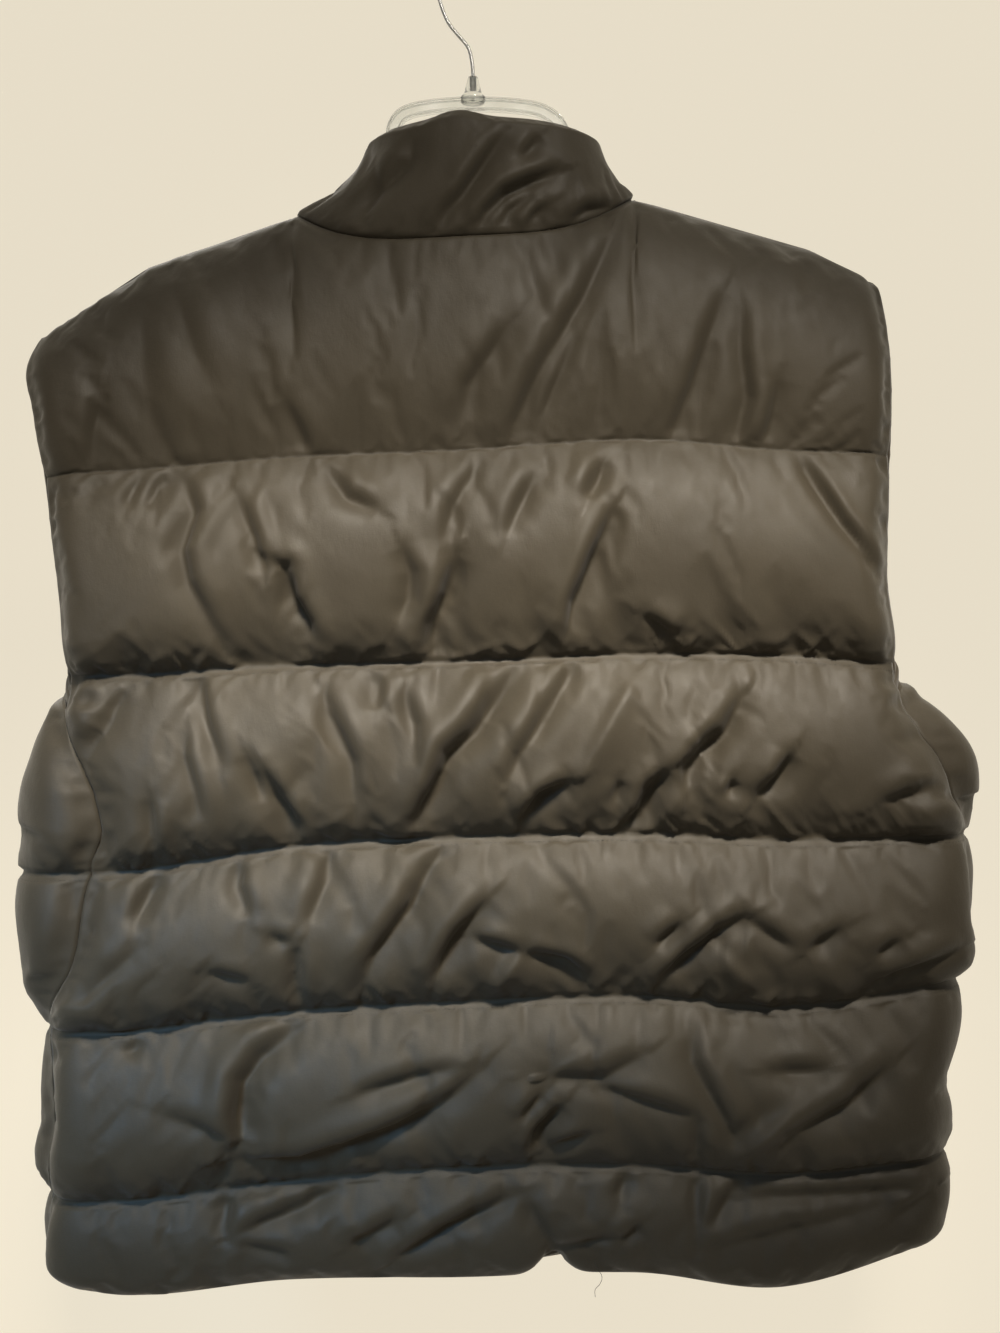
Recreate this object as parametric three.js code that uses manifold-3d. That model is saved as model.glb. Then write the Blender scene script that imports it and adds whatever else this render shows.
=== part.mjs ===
// A padded puffer vest, zipped shut and hung on a clear hanger with a bright wire hook.
// Millimetres, +Z up. The garment's back faces -Y, its zipped front faces +Y.
// The origin is the inner top of the hook, where a rail would carry it.
import * as THREE from 'three';
import { mergeVertices } from 'three/addons/utils/BufferGeometryUtils.js';
import Module from 'manifold-3d';

const wasm = await Module();
wasm.setup();

// Driving dimensions
const SEAM_GAP = 0.3;          // between any two pieces
const NECK_GAP = 0.45;         // the same where the collar's foot curves round the neck
const SEAM_WALL = 5;           // both cloths and the filling where they are sewn through
const RIDGE_WALL = 7;          // the same over the hanger's arms
const LEAST_WALL = 2.5;        // at the bottom of the deepest crease
const PUFF = { yoke: 9, channel: 19, hem: 12 };
const PUFF_RISE = 0.4;         // the puff bulges low in its channel: a steep rise from the
const PUFF_FALL = 0.9;         // lower line and a long fall from the upper one
const EDGE_SHARE = 0.3;        // what is left of the puff at a side seam or a front edge
const EDGE_REACH = 14;
const CAP_WIDTH = 26;          // how far each side's round end reaches along X
const BOW = 0.12;              // the flat back and front fall away this much to the sides
const NECK_HALF = 113;
const NECK_LEAN = 0.9;         // how far the neck seam's wall leans up where it crosses the shoulder
const NECK_BLEND = { reach: 26, level: 0.25 };
const NECK_BACK = { y: -40, dip: 25, power: 3.75 };
const NECK_FRONT = { y: 46, dip: 62, power: 2.2 };
const FRONT_DEPTH = 46;
const ARM_EDGE = 7;            // width of the turned armhole edge
const ARM_EDGE_WALL = 5.5;
const ARM_EDGE_LIP = { share: 0.35, wall: 4.4, turned: 0.6 };
const ARM_FOOT_GAP = 1.1;      // its gap to the panels at the armhole's tight foot
const ARM_FOOT_LIFT = 0.006;   // and the level by which it clears the foot itself
const ZIP_X = 6;
const ZIP_HALF = 9;            // from the zip's middle to a front's edge
const CHAIN = { half: 3, back: 46.7, front: 49.3 };
const TAPE = { back: 47.4, front: 48.6 };

// Heights of the hem and the five quilting lines at seven widths, left to right
const WIDTHS = [-290, -220, -120, 0, 120, 220, 335];
const LINES = [
  { line: 'hem', heights: [-936, -943, -932, -930, -927, -937, -902] },
  { line: 'fifth', heights: [-880, -876, -863, -853, -852, -858, -847] },
  { line: 'fourth', heights: [-764, -761, -748, -741, -737, -745, -728] },
  { line: 'third', heights: [-655, -652, -636, -629, -627, -631, -629] },
  { line: 'second', heights: [-520, -519, -513, -510, -505, -506, -516] },
  { line: 'first', heights: [-383, -379, -371, -366, -359, -366, -369] },
];
const TOP = LINES.length;
const HEM_NOTCH = { x: 61, width: 13, rise: 14 };

// The inside of the garment at a level: 0 is the hem, 1 to 5 the quilting lines, 6 the
// shoulders. left and right are its widest points and back its depth. The side seam lies
// this far from the widest point towards the back, and the armhole opens this far each way.
const RINGS = [
  { level: 0, left: -280, right: 321, back: 40, seamLeft: 8, openLeft: 0, seamRight: 0, openRight: 0 },
  { level: 1, left: -284, right: 331, back: 45, seamLeft: 20, openLeft: 0, seamRight: 0, openRight: 0 },
  { level: 1.4, left: -277, right: 318, back: 46, seamLeft: 22, openLeft: 0, seamRight: 0, openRight: 0 },
  { level: 1.8, left: -282, right: 336, back: 46, seamLeft: 23, openLeft: 0, seamRight: 2, openRight: 0 },
  { level: 2, left: -286, right: 340, back: 46, seamLeft: 24, openLeft: 0, seamRight: 4, openRight: 0 },
  { level: 2.4, left: -285, right: 338, back: 46, seamLeft: 52, openLeft: 0, seamRight: 12, openRight: 0 },
  { level: 3, left: -304, right: 346, back: 46, seamLeft: 84, openLeft: 0, seamRight: 20, openRight: 0 },
  { level: 3.2, left: -292, right: 337, back: 46, seamLeft: 80, openLeft: 0, seamRight: 32, openRight: 0 },
  { level: 3.4, left: -289, right: 335, back: 46, seamLeft: 72, openLeft: 0, seamRight: 42, openRight: 0 },
  { level: 3.55, left: -284, right: 324, back: 46, seamLeft: 58, openLeft: 0, seamRight: 44, openRight: 0 },
  { level: 3.7, left: -279, right: 308, back: 46, seamLeft: 42, openLeft: 0, seamRight: 36, openRight: 0 },
  { level: 3.82, left: -276, right: 302, back: 46, seamLeft: 30, openLeft: 0, seamRight: 30, openRight: 0 },
  { level: 3.89, left: -275, right: 300, back: 46, seamLeft: 20, openLeft: 13, seamRight: 20, openRight: 13 },
  { level: 4, left: -276, right: 301, back: 45, seamLeft: 8, openLeft: 25, seamRight: 8, openRight: 25 },
  { level: 4.4, left: -279, right: 292, back: 45, seamLeft: 2, openLeft: 30, seamRight: 2, openRight: 30 },
  { level: 5, left: -292, right: 297, back: 44, seamLeft: 0, openLeft: 31, seamRight: 0, openRight: 31 },
  { level: 5.5, left: -300, right: 297, back: 43, seamLeft: 0, openLeft: 30, seamRight: 0, openRight: 30 },
  { level: 5.8, left: -306, right: 295, back: 43, seamLeft: 0, openLeft: 29, seamRight: 0, openRight: 29 },
  { level: 6, left: -300, right: 293, back: 42, seamLeft: 0, openLeft: 28, seamRight: 0, openRight: 28 },
];
const ARMHOLE_FOOT = 3.82;
const ARM_GAP_TOP = 4.4;       // from here up the armhole's edge keeps the usual gap

// The shoulder line that the hanger's arms carry, and its drop past their tips
const SHOULDER = [
  { x: -300, z: -292 },
  { x: -262, z: -266 },
  { x: -221, z: -239 },
  { x: -NECK_HALF, z: -201 },
  { x: NECK_HALF, z: -189 },
  { x: 241, z: -226 },
  { x: 271, z: -241 },
  { x: 293, z: -253 },
];

const ROW_STEPS = {
  hem: [0, 0.1, 0.3, 0.62, 0.86],
  channel: [0, 0.07, 0.2, 0.4, 0.64, 0.85],
  armholeFoot: [0, 0.07, 0.2, 0.4, 0.62, 0.82, 0.89],
  yoke: [0, 0.06, 0.2, 0.36, 0.52, 0.67, 0.79, 0.88, 0.95, 1],
};
const LEVELS = [
  ...ROW_STEPS.hem,
  ...ROW_STEPS.channel.map((step) => 1 + step),
  ...ROW_STEPS.channel.map((step) => 2 + step),
  ...ROW_STEPS.armholeFoot.map((step) => 3 + step),
  ...ROW_STEPS.channel.map((step) => 4 + step),
  ...ROW_STEPS.yoke.map((step) => 5 + step),
];
const SHOULDER_STEPS = 16;
const NECK_STEPS_BACK = 20;
const NECK_STEPS_FRONT = 10;

// The back's largest creases: each runs from one point to the next, seen from behind
const BACK_FOLDS = [
  { path: [[-221, -262], [-215, -316], [-209, -372]], depth: 4, width: 18 },
  { path: [[-246, -328], [-253, -374]], depth: 4, width: 10 },
  { path: [[-121, -334], [-104, -370]], depth: 3, width: 10 },
  { path: [[33, -281], [4, -324], [-1, -358]], depth: 3, width: 12 },
  { path: [[102, -222], [81, -263], [53, -312], [31, -360]], depth: 6, width: 11 },
  { path: [[78, -287], [50, -353]], depth: 3, width: 9 },
  { path: [[178, -259], [156, -324], [141, -357]], depth: 4, width: 12 },
  { path: [[190, -269], [193, -331], [186, -359]], depth: 5, width: 11 },
  { path: [[-203, -384], [-224, -408]], depth: 5, width: 9 },
  { path: [[-191, -384], [-181, -408], [-187, -445], [-164, -500]], depth: 8, width: 10 },
  { path: [[-152, -398], [-133, -451]], depth: 5, width: 10 },
  { path: [[-123, -442], [-103, -500]], depth: 8, width: 9 },
  { path: [[-92, -379], [-57, -408]], depth: 4, width: 9 },
  { path: [[-3, -441], [-19, -485], [-22, -507]], depth: 10, width: 10 },
  { path: [[-41, -434], [-44, -485]], depth: 5, width: 9 },
  { path: [[50, -382], [30, -425]], depth: 4, width: 9 },
  { path: [[100, -375], [103, -406], [76, -472], [71, -500]], depth: 10, width: 10 },
  { path: [[229, -373], [255, -415], [281, -449]], depth: 7, width: 10 },
  { path: [[-230, -529], [-258, -573]], depth: 6, width: 12 },
  { path: [[-179, -521], [-162, -581]], depth: 5, width: 9 },
  { path: [[-145, -573], [-111, -626]], depth: 7, width: 9 },
  { path: [[-95, -530], [-74, -578], [-72, -610]], depth: 6, width: 10 },
  { path: [[-41, -530], [-31, -581]], depth: 4, width: 9 },
  { path: [[33, -518], [-8, -573], [-34, -622]], depth: 11, width: 10 },
  { path: [[76, -512], [31, -590]], depth: 6, width: 10 },
  { path: [[76, -590], [40, -621]], depth: 8, width: 9 },
  { path: [[139, -583], [110, -624]], depth: 8, width: 9 },
  { path: [[188, -535], [161, -570], [151, -600]], depth: 9, width: 10 },
  { path: [[221, -573], [198, -606]], depth: 8, width: 10 },
  { path: [[-208, -650], [-220, -690]], depth: 5, width: 9 },
  { path: [[-150, -648], [-143, -685]], depth: 4, width: 9 },
  { path: [[-13, -638], [-48, -693], [-70, -734]], depth: 10, width: 10 },
  { path: [[18, -669], [-22, -730]], depth: 8, width: 9 },
  { path: [[43, -705], [84, -726]], depth: 5, width: 9 },
  { path: [[189, -682], [153, -707], [130, -730]], depth: 9, width: 10 },
  { path: [[190, -682], [222, -706]], depth: 5, width: 9 },
  { path: [[325, -708], [270, -732]], depth: 7, width: 10 },
  { path: [[-116, -764], [-148, -791], [-159, -848]], depth: 11, width: 11 },
  { path: [[-153, -848], [-52, -830], [10, -787]], depth: 9, width: 10 },
  { path: [[121, -773], [59, -786]], depth: 6, width: 12 },
  { path: [[67, -808], [45, -843]], depth: 8, width: 9 },
  { path: [[289, -782], [222, -830]], depth: 8, width: 10 },
  { path: [[153, -763], [165, -797], [184, -832]], depth: 6, width: 9 },
  { path: [[-81, -864], [-107, -879], [-153, -899]], depth: 6, width: 9 },
  { path: [[34, -873], [-9, -892], [-46, -914]], depth: 7, width: 9 },
  { path: [[62, -908], [43, -877]], depth: 6, width: 9 },
  { path: [[194, -876], [318, -870]], depth: 4, width: 9 },
];

// The fronts' creases, of the same kinds
const FRONT_FOLDS = [
  { path: [[-196, -268], [-208, -330], [-203, -372]], depth: 5, width: 12 },
  { path: [[-96, -262], [-128, -330], [-134, -366]], depth: 5, width: 11 },
  { path: [[112, -270], [146, -326], [150, -360]], depth: 6, width: 11 },
  { path: [[221, -262], [205, -318], [214, -362]], depth: 4, width: 12 },
  { path: [[-240, -392], [-205, -450], [-199, -504]], depth: 8, width: 11 },
  { path: [[-110, -388], [-96, -441], [-69, -498]], depth: 9, width: 10 },
  { path: [[62, -384], [88, -436], [84, -494]], depth: 8, width: 10 },
  { path: [[196, -384], [171, -440], [176, -496]], depth: 9, width: 11 },
  { path: [[-201, -531], [-176, -584], [-187, -634]], depth: 9, width: 10 },
  { path: [[-72, -526], [-97, -580], [-92, -618]], depth: 8, width: 10 },
  { path: [[104, -522], [76, -570], [80, -614]], depth: 10, width: 10 },
  { path: [[247, -530], [214, -573], [205, -615]], depth: 8, width: 10 },
  { path: [[-232, -664], [-196, -706], [-190, -746]], depth: 8, width: 10 },
  { path: [[-71, -644], [-104, -690], [-110, -730]], depth: 9, width: 10 },
  { path: [[64, -640], [98, -688], [93, -728]], depth: 8, width: 10 },
  { path: [[246, -642], [219, -684], [222, -730]], depth: 9, width: 10 },
  { path: [[-215, -776], [-183, -812], [-187, -858]], depth: 9, width: 11 },
  { path: [[-60, -752], [-92, -796], [-84, -840]], depth: 8, width: 10 },
  { path: [[85, -748], [122, -792], [118, -838]], depth: 9, width: 10 },
  { path: [[284, -742], [241, -792], [236, -842]], depth: 8, width: 10 },
  { path: [[-180, -882], [-140, -914]], depth: 5, width: 9 },
  { path: [[160, -862], [121, -902]], depth: 6, width: 9 },
];

const GATHERS_PER_LINE = 18;   // short puckers across a panel, above and below each line
const GATHER = { depth: 2.2, reach: 24, shift: 0.37, fullSwell: 8 };
const CREASE_SHARE = 0.85;      // of the puff, that the deepest creases may take

// The collar's top edge, and its creases in angle (0 is the back's middle) and height
const COLLAR = { middle: 14, half: 72, back: -46, front: 46, lean: 0.1, turnBy: 3, creaseSwell: 6 };
const COLLAR_WALL = { seam: RIDGE_WALL, puff: 5.5, top: 7, bulge: 0.8, atZip: 0.4 };
const COLLAR_TOP = { back: -139, side: -147, front: -172, square: 0.8 };
const COLLAR_PEAK = { x: -3, width: 16, rise: 5 };
const COLLAR_HOLLOW = 2.3;     // how quickly the collar turns in from its seam before it rises
const COLLAR_RISE = [0, 0.08, 0.24, 0.45, 0.68, 0.87, 0.96, 1];
const COLLAR_FOLDS = [
  { path: [[-12, 0], [0, 0.4], [12, 0.95]], depth: 4, width: 0.1 },
  { path: [[2, 0], [16, 0.4], [36, 0.72]], depth: 6, width: 0.1 },
  { path: [[20, 0], [34, 0.3]], depth: 4, width: 0.1 },
  { path: [[-18, 0.9], [-32, 0.5], [-44, 0.2]], depth: 3, width: 0.13 },
  { path: [[80, 0], [48, 0.12], [36, 0.05]], depth: 5, width: 0.1 },
  { path: [[-110, 0.1], [-126, 0.8]], depth: 4, width: 0.12 },
  { path: [[128, 0.9], [142, 0.2]], depth: 4, width: 0.12 },
];

// The clear hanger: its bar follows these middle points, one half and then the other
const BAR = { half: 4.5, clear: 0.9, sides: 8, step: 7 };
const CROWN_LEFT = [[-97, -203.5], [-80, -194.5], [-65, -182], [-54, -165], [-51, -147], [-50, -133],
  [-43, -123.5], [-24, -118.5]];
const CROWN_TOP = { x: 6, z: -116.5 };
const CROWN_RIGHT = [[38, -118], [56, -122], [67, -131], [72, -147], [80, -168], [98, -190]];
const ARM_TIPS = { left: -216, right: 236 };
const BOSS = { radius: 8.6, neck: 4.6, topRadius: 3, foot: -116, flare: -111, waist: -102, top: -97 };
const BORE = { radius: 1.9, foot: -110, head: -96 };
const WIRE = { radius: 1.4, sides: 8, step: 5, arcSteps: 26 };
const HOOK_RADIUS = 22.5;
const HOOK_END = -35;          // degrees past the right-hand side
const HOOK_STEM = [[6, -109.5], [6, -96], [5.2, -86], [2.6, -76.5], [-4.3, -68], [-11.6, -58.6],
  [-17.6, -43]];

const SLIDER = { z: -186, half: 4.2, tall: 12, plate: 1.4, gap: 0.3, web: 2.9, mouth: 2 };
const BRIDGE = { half: 1, post: 1.2, bar: 1.1, reach: 3.3, spread: 4.2 };
const SUNK = 0.2;              // how far one block of the slider runs into the next
const PULL = { pin: 0.65, ring: 2.7, arm: 1, drop: 6.5, length: 30, half: 3.5, offset: 1.1 };

// A cubic through a short table, with slopes from its neighbours
function curveAt(places, values, at) {
  const last = places.length - 1;
  const x = Math.min(Math.max(at, places[0]), places[last]);
  let i = 0;
  while (i < last - 1 && x > places[i + 1]) i += 1;
  const span = places[i + 1] - places[i];
  const slope = (j) => {
    const a = Math.max(j - 1, 0);
    const b = Math.min(j + 1, last);
    return (values[b] - values[a]) / (places[b] - places[a]);
  };
  const t = (x - places[i]) / span;
  const s = 1 - t;
  return s * s * (1 + 2 * t) * values[i] + t * t * (3 - 2 * t) * values[i + 1]
    + span * s * s * t * slope(i) - span * t * t * s * slope(i + 1);
}

function straightAt(rows, x) {
  let i = 0;
  while (i < rows.length - 2 && x > rows[i + 1].x) i += 1;
  const t = (x - rows[i].x) / (rows[i + 1].x - rows[i].x);
  return rows[i].z + (rows[i + 1].z - rows[i].z) * t;
}

const ringLevels = RINGS.map((ring) => ring.level);
const ringValue = (name, level) => {
  let i = 0;
  while (i < RINGS.length - 2 && level > RINGS[i + 1].level) i += 1;
  const t = (level - RINGS[i].level) / (RINGS[i + 1].level - RINGS[i].level);
  return RINGS[i][name] + (RINGS[i + 1][name] - RINGS[i][name]) * t;
};
const smoothValue = (name, level) => curveAt(ringLevels, RINGS.map((ring) => ring[name]), level);

const lineHeight = (index, x) => curveAt(WIDTHS, LINES[index].heights, x);

function hemHeight(x) {
  const off = (x - HEM_NOTCH.x) / HEM_NOTCH.width;
  return lineHeight(0, x) + HEM_NOTCH.rise * Math.exp(-off * off);
}

// The neck seam at an angle: 0 is the back's middle, 90 the right shoulder, 180 the front
function neckPoint(angle) {
  const side = Math.sin(angle);
  const facing = Math.cos(angle);
  const rim = facing > 0 ? NECK_BACK : NECK_FRONT;
  const x = NECK_HALF * side;
  const fall = rim.dip * (1 - Math.abs(side) ** rim.power);
  return new THREE.Vector3(x, rim.y * Math.abs(facing), straightAt(SHOULDER, x) - fall);
}

// The way that the wall's thickness points all along the neck seam
function neckThickness(angle) {
  const up = NECK_LEAN * Math.abs(Math.sin(angle)) ** 3;
  return new THREE.Vector3(Math.sin(angle), -Math.cos(angle), up).normalize();
}

function loopSizes(level) {
  const left = smoothValue('left', level);
  const right = smoothValue('right', level);
  const flat = (right - left) / 2 - CAP_WIDTH;
  const depth = (smoothValue('back', level) + FRONT_DEPTH) / 2;
  const cap = (Math.PI / 2) * Math.sqrt((CAP_WIDTH ** 2 + depth ** 2) / 2);
  return { left, right, middle: (left + right) / 2, flat, cap, length: flat + cap };
}

// Where a turn lies on the loop: turn 0 is the back's middle, 1 the right side, 2 the front's
// middle, and -1 the left side
function loopPlace(level, turn) {
  const size = loopSizes(level);
  const wrapped = turn > 2 ? turn - 4 : turn < -2 ? turn + 4 : turn;
  const onBack = Math.abs(wrapped) <= 1;
  const share = onBack ? Math.abs(wrapped) : 2 - Math.abs(wrapped);
  const reach = share * size.length;
  const angle = reach > size.flat ? ((reach - size.flat) / size.cap) * Math.PI / 2 : 0;
  const away = reach > size.flat ? size.flat + CAP_WIDTH * Math.sin(angle) : reach;
  const depth = onBack ? -smoothValue('back', level) : FRONT_DEPTH;
  return {
    x: size.middle + Math.sign(wrapped) * away,
    y: depth * Math.cos(angle) * (1 - BOW * share * share),
    onBack,
  };
}

function turnAt(level, x, onBack) {
  const size = loopSizes(level);
  const away = Math.abs(x - size.middle);
  const over = Math.min((away - size.flat) / CAP_WIDTH, 1);
  const reach = away <= size.flat ? away : size.flat + size.cap * Math.asin(over) / (Math.PI / 2);
  const share = reach / size.length;
  const sign = x < size.middle ? -1 : 1;
  return sign * (onBack ? share : 2 - share);
}

// The inner face of the garment at a level and a turn
function insideAt(level, turn) {
  if (level <= TOP - 1) {
    const place = loopPlace(level, turn);
    const below = Math.min(Math.floor(level), TOP - 2);
    const t = level - below;
    const low = below === 0 ? hemHeight(place.x) : lineHeight(below, place.x);
    const high = lineHeight(below + 1, place.x);
    return new THREE.Vector3(place.x, place.y, low + (high - low) * t);
  }
  const t = Math.min(level - (TOP - 1), 1);
  const place = loopPlace(level, turn);
  const over = Math.sqrt(Math.max(1 - t ** 3, 0));
  const side = Math.max(-1, Math.min(1, place.x / NECK_HALF));
  const angle = place.onBack ? Math.asin(side) : Math.PI - Math.asin(side);
  const inNeck = Math.abs(place.x) < NECK_HALF;
  const rim = neckPoint(angle);
  const apart = (place.onBack ? -1 : 1) * SEAM_GAP / 2;
  const topY = inNeck ? rim.y + apart : apart;
  const topZ = inNeck ? rim.z : straightAt(SHOULDER, place.x);
  const low = lineHeight(TOP - 1, place.x);
  return new THREE.Vector3(place.x, place.y * over + topY * (1 - over), low + (topZ - low) * t);
}

function outwardAt(level, turn) {
  const step = 0.004;
  const up = Math.min(level + step, TOP);
  const down = Math.max(level - step, 0);
  const along = insideAt(level, turn + step).sub(insideAt(level, turn - step));
  const rise = insideAt(up, turn).sub(insideAt(down, turn));
  const normal = along.cross(rise).normalize();
  const place = insideAt(level, turn);
  const past = Math.max(Math.abs(place.x) - NECK_HALF, 0);
  const near = Math.max(0, 1 - past / NECK_BLEND.reach)
    * THREE.MathUtils.smoothstep(level, TOP - NECK_BLEND.level, TOP);
  if (near > 0) {
    const side = Math.max(-1, Math.min(1, place.x / NECK_HALF));
    const angle = place.y <= 0 ? Math.asin(side) : Math.PI - Math.asin(side);
    normal.lerp(neckThickness(angle), near).normalize();
  }
  return normal;
}

function distanceToPath(path, u, v) {
  let nearest = Infinity;
  for (let i = 0; i + 1 < path.length; i += 1) {
    const [ax, ay] = path[i];
    const [bx, by] = path[i + 1];
    const length2 = (bx - ax) ** 2 + (by - ay) ** 2;
    const t = Math.max(0, Math.min(1, ((u - ax) * (bx - ax) + (v - ay) * (by - ay)) / length2));
    nearest = Math.min(nearest, Math.hypot(u - ax - t * (bx - ax), v - ay - t * (by - ay)));
  }
  return nearest;
}

const troughs = (folds, u, v) => folds.reduce((sum, fold) => {
  const off = distanceToPath(fold.path, u, v) / fold.width;
  return off > 3 ? sum : sum + fold.depth * Math.exp(-off * off);
}, 0);

function puffShape(t) {
  const peak = PUFF_RISE / (PUFF_RISE + PUFF_FALL);
  const full = peak ** PUFF_RISE * (1 - peak) ** PUFF_FALL;
  return (t ** PUFF_RISE * (1 - t) ** PUFF_FALL) / full;
}

function yokeShape(t) {
  return Math.sin(Math.PI * t ** 0.75);
}

// The wall's thickness. fromEdge is the distance to the panel's nearer side edge, and across
// runs from 0 to 1 over the panel.
function wallAt(level, turn, fromEdge, across, folds) {
  const channel = Math.min(Math.floor(level), TOP - 1);
  const t = level - channel;
  const yoke = channel === TOP - 1;
  const size = yoke ? PUFF.yoke : channel === 0 ? PUFF.hem : PUFF.channel;
  const swell = size * (yoke ? yokeShape(t) : puffShape(t));
  const edge = Math.exp(-((fromEdge / EDGE_REACH) ** 2));
  const place = insideAt(level, turn);
  const below = channel === 0 ? Infinity : place.z - lineHeight(channel, place.x);
  const above = yoke ? Infinity : lineHeight(channel + 1, place.x) - place.z;
  const toLine = Math.min(below, above);
  const wave = 0.5 + 0.5 * Math.cos(2 * Math.PI * (GATHERS_PER_LINE * across + GATHER.shift * channel));
  const gather = t === 0 ? 0 : GATHER.depth * wave * Math.exp(-toLine / GATHER.reach);
  const base = yoke ? SEAM_WALL + (RIDGE_WALL - SEAM_WALL) * t ** 4 : SEAM_WALL;
  const creases = Math.min(troughs(folds, place.x, place.z), swell * CREASE_SHARE)
    + gather * Math.min(1, swell / GATHER.fullSwell);
  const wall = base + swell * (1 - (1 - EDGE_SHARE) * edge) - creases * (1 - edge);
  return Math.max(wall, LEAST_WALL);
}

// A closed wall from two grids of points that share their border's count. The inner grid
// keeps only the columns in keep, and every column on its first and last row.
function wallGeometry(rows, columns, keep, outerAt, innerAt) {
  const points = [];
  const put = (point) => points.push(point.x, point.y, point.z) / 3 - 1;
  const outer = [];
  const inner = [];
  for (let i = 0; i < rows; i += 1) {
    outer.push(Array.from({ length: columns }, (_, j) => put(outerAt(i, j))));
    const kept = (j) => i === 0 || i === rows - 1 || keep.includes(j);
    inner.push(Array.from({ length: columns }, (_, j) => (kept(j) ? put(innerAt(i, j)) : -1)));
  }
  const faces = [];
  for (let i = 0; i + 1 < rows; i += 1) {
    for (let j = 0; j + 1 < columns; j += 1) {
      faces.push(outer[i][j], outer[i][j + 1], outer[i + 1][j + 1]);
      faces.push(outer[i][j], outer[i + 1][j + 1], outer[i + 1][j]);
    }
    const low = inner[i].map((id, j) => ({ id, j })).filter((item) => item.id >= 0);
    const high = inner[i + 1].map((id, j) => ({ id, j })).filter((item) => item.id >= 0);
    let a = 0;
    let b = 0;
    while (a < low.length - 1 || b < high.length - 1) {
      const lowNext = a < low.length - 1 ? low[a + 1].j : Infinity;
      const highNext = b < high.length - 1 ? high[b + 1].j : Infinity;
      if (lowNext <= highNext) {
        faces.push(low[a].id, high[b].id, low[a + 1].id);
        a += 1;
      } else {
        faces.push(low[a].id, high[b].id, high[b + 1].id);
        b += 1;
      }
    }
  }
  const lastRow = rows - 1;
  const lastColumn = columns - 1;
  for (let j = 0; j < lastColumn; j += 1) {
    faces.push(outer[0][j + 1], outer[0][j], inner[0][j]);
    faces.push(outer[0][j + 1], inner[0][j], inner[0][j + 1]);
    faces.push(outer[lastRow][j], outer[lastRow][j + 1], inner[lastRow][j + 1]);
    faces.push(outer[lastRow][j], inner[lastRow][j + 1], inner[lastRow][j]);
  }
  for (let i = 0; i < lastRow; i += 1) {
    faces.push(outer[i + 1][lastColumn], outer[i][lastColumn], inner[i + 1][lastColumn]);
    faces.push(outer[i][lastColumn], inner[i][lastColumn], inner[i + 1][lastColumn]);
    faces.push(outer[i][0], outer[i + 1][0], inner[i + 1][0]);
    faces.push(outer[i][0], inner[i + 1][0], inner[i][0]);
  }
  return indexed(points, faces);
}

function indexed(points, faces) {
  const geometry = new THREE.BufferGeometry();
  geometry.setAttribute('position', new THREE.Float32BufferAttribute(points, 3));
  geometry.setIndex(faces);
  return geometry;
}

const everyNth = (columns, step) => {
  const kept = [0];
  while (kept.at(-1) + step < columns - 1) kept.push(kept.at(-1) + step);
  return [...kept, columns - 1];
};

// Angles of the collar's columns over the back's neck and over each front's neck
const ZIP_ANGLE = {
  left: -Math.PI - Math.asin((ZIP_X - ZIP_HALF) / NECK_HALF),
  right: Math.PI - Math.asin((ZIP_X + ZIP_HALF) / NECK_HALF),
};
const steps = (count, from, to) =>
  Array.from({ length: count + 1 }, (_, i) => from + ((to - from) * i) / count);
const BACK_ANGLES = steps(NECK_STEPS_BACK, -Math.PI / 2, Math.PI / 2);
const LEFT_ANGLES = steps(NECK_STEPS_FRONT, ZIP_ANGLE.left, -Math.PI / 2);
const RIGHT_ANGLES = steps(NECK_STEPS_FRONT, Math.PI / 2, ZIP_ANGLE.right);

const seamTurn = (side, level, way) => {
  const name = side < 0 ? 'Left' : 'Right';
  const off = ringValue(`seam${name}`, level) + way * (ringValue(`open${name}`, level) + SEAM_GAP / 2);
  return side * (1 - off / loopSizes(level).length);
};

// Each panel's first and last turn at a level, and the widths of its columns along the top
const PANELS = {
  back: {
    folds: BACK_FOLDS,
    onBack: true,
    ends: (level) => [seamTurn(-1, level, 1), seamTurn(1, level, 1)],
    topWidths: () => {
      const [from, to] = PANELS.back.ends(TOP).map((turn) => loopPlace(TOP, turn).x);
      const neck = BACK_ANGLES.map((angle) => NECK_HALF * Math.sin(angle));
      return [...steps(SHOULDER_STEPS, from, -NECK_HALF), ...neck.slice(1, -1),
        ...steps(SHOULDER_STEPS, NECK_HALF, to)];
    },
  },
  front_left: {
    folds: FRONT_FOLDS,
    onBack: false,
    ends: (level) => [-4 + turnNearZip(level, ZIP_X - ZIP_HALF), seamTurn(-1, level, -1)],
    topWidths: () => {
      const to = loopPlace(TOP, PANELS.front_left.ends(TOP)[1]).x;
      const neck = LEFT_ANGLES.map((angle) => NECK_HALF * Math.sin(angle));
      return [...neck.slice(0, -1), ...steps(SHOULDER_STEPS, -NECK_HALF, to)];
    },
  },
  front_right: {
    folds: FRONT_FOLDS,
    onBack: false,
    ends: (level) => [seamTurn(1, level, -1), turnNearZip(level, ZIP_X + ZIP_HALF)],
    topWidths: () => {
      const from = loopPlace(TOP, PANELS.front_right.ends(TOP)[0]).x;
      const neck = RIGHT_ANGLES.map((angle) => NECK_HALF * Math.sin(angle));
      return [...steps(SHOULDER_STEPS, from, NECK_HALF), ...neck.slice(1)];
    },
  },
};

// The turn of a place on the front, counted on from the right side past the front's middle
function turnNearZip(level, x) {
  const turn = turnAt(level, x, false);
  return turn < 0 ? turn + 4 : turn;
}

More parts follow.
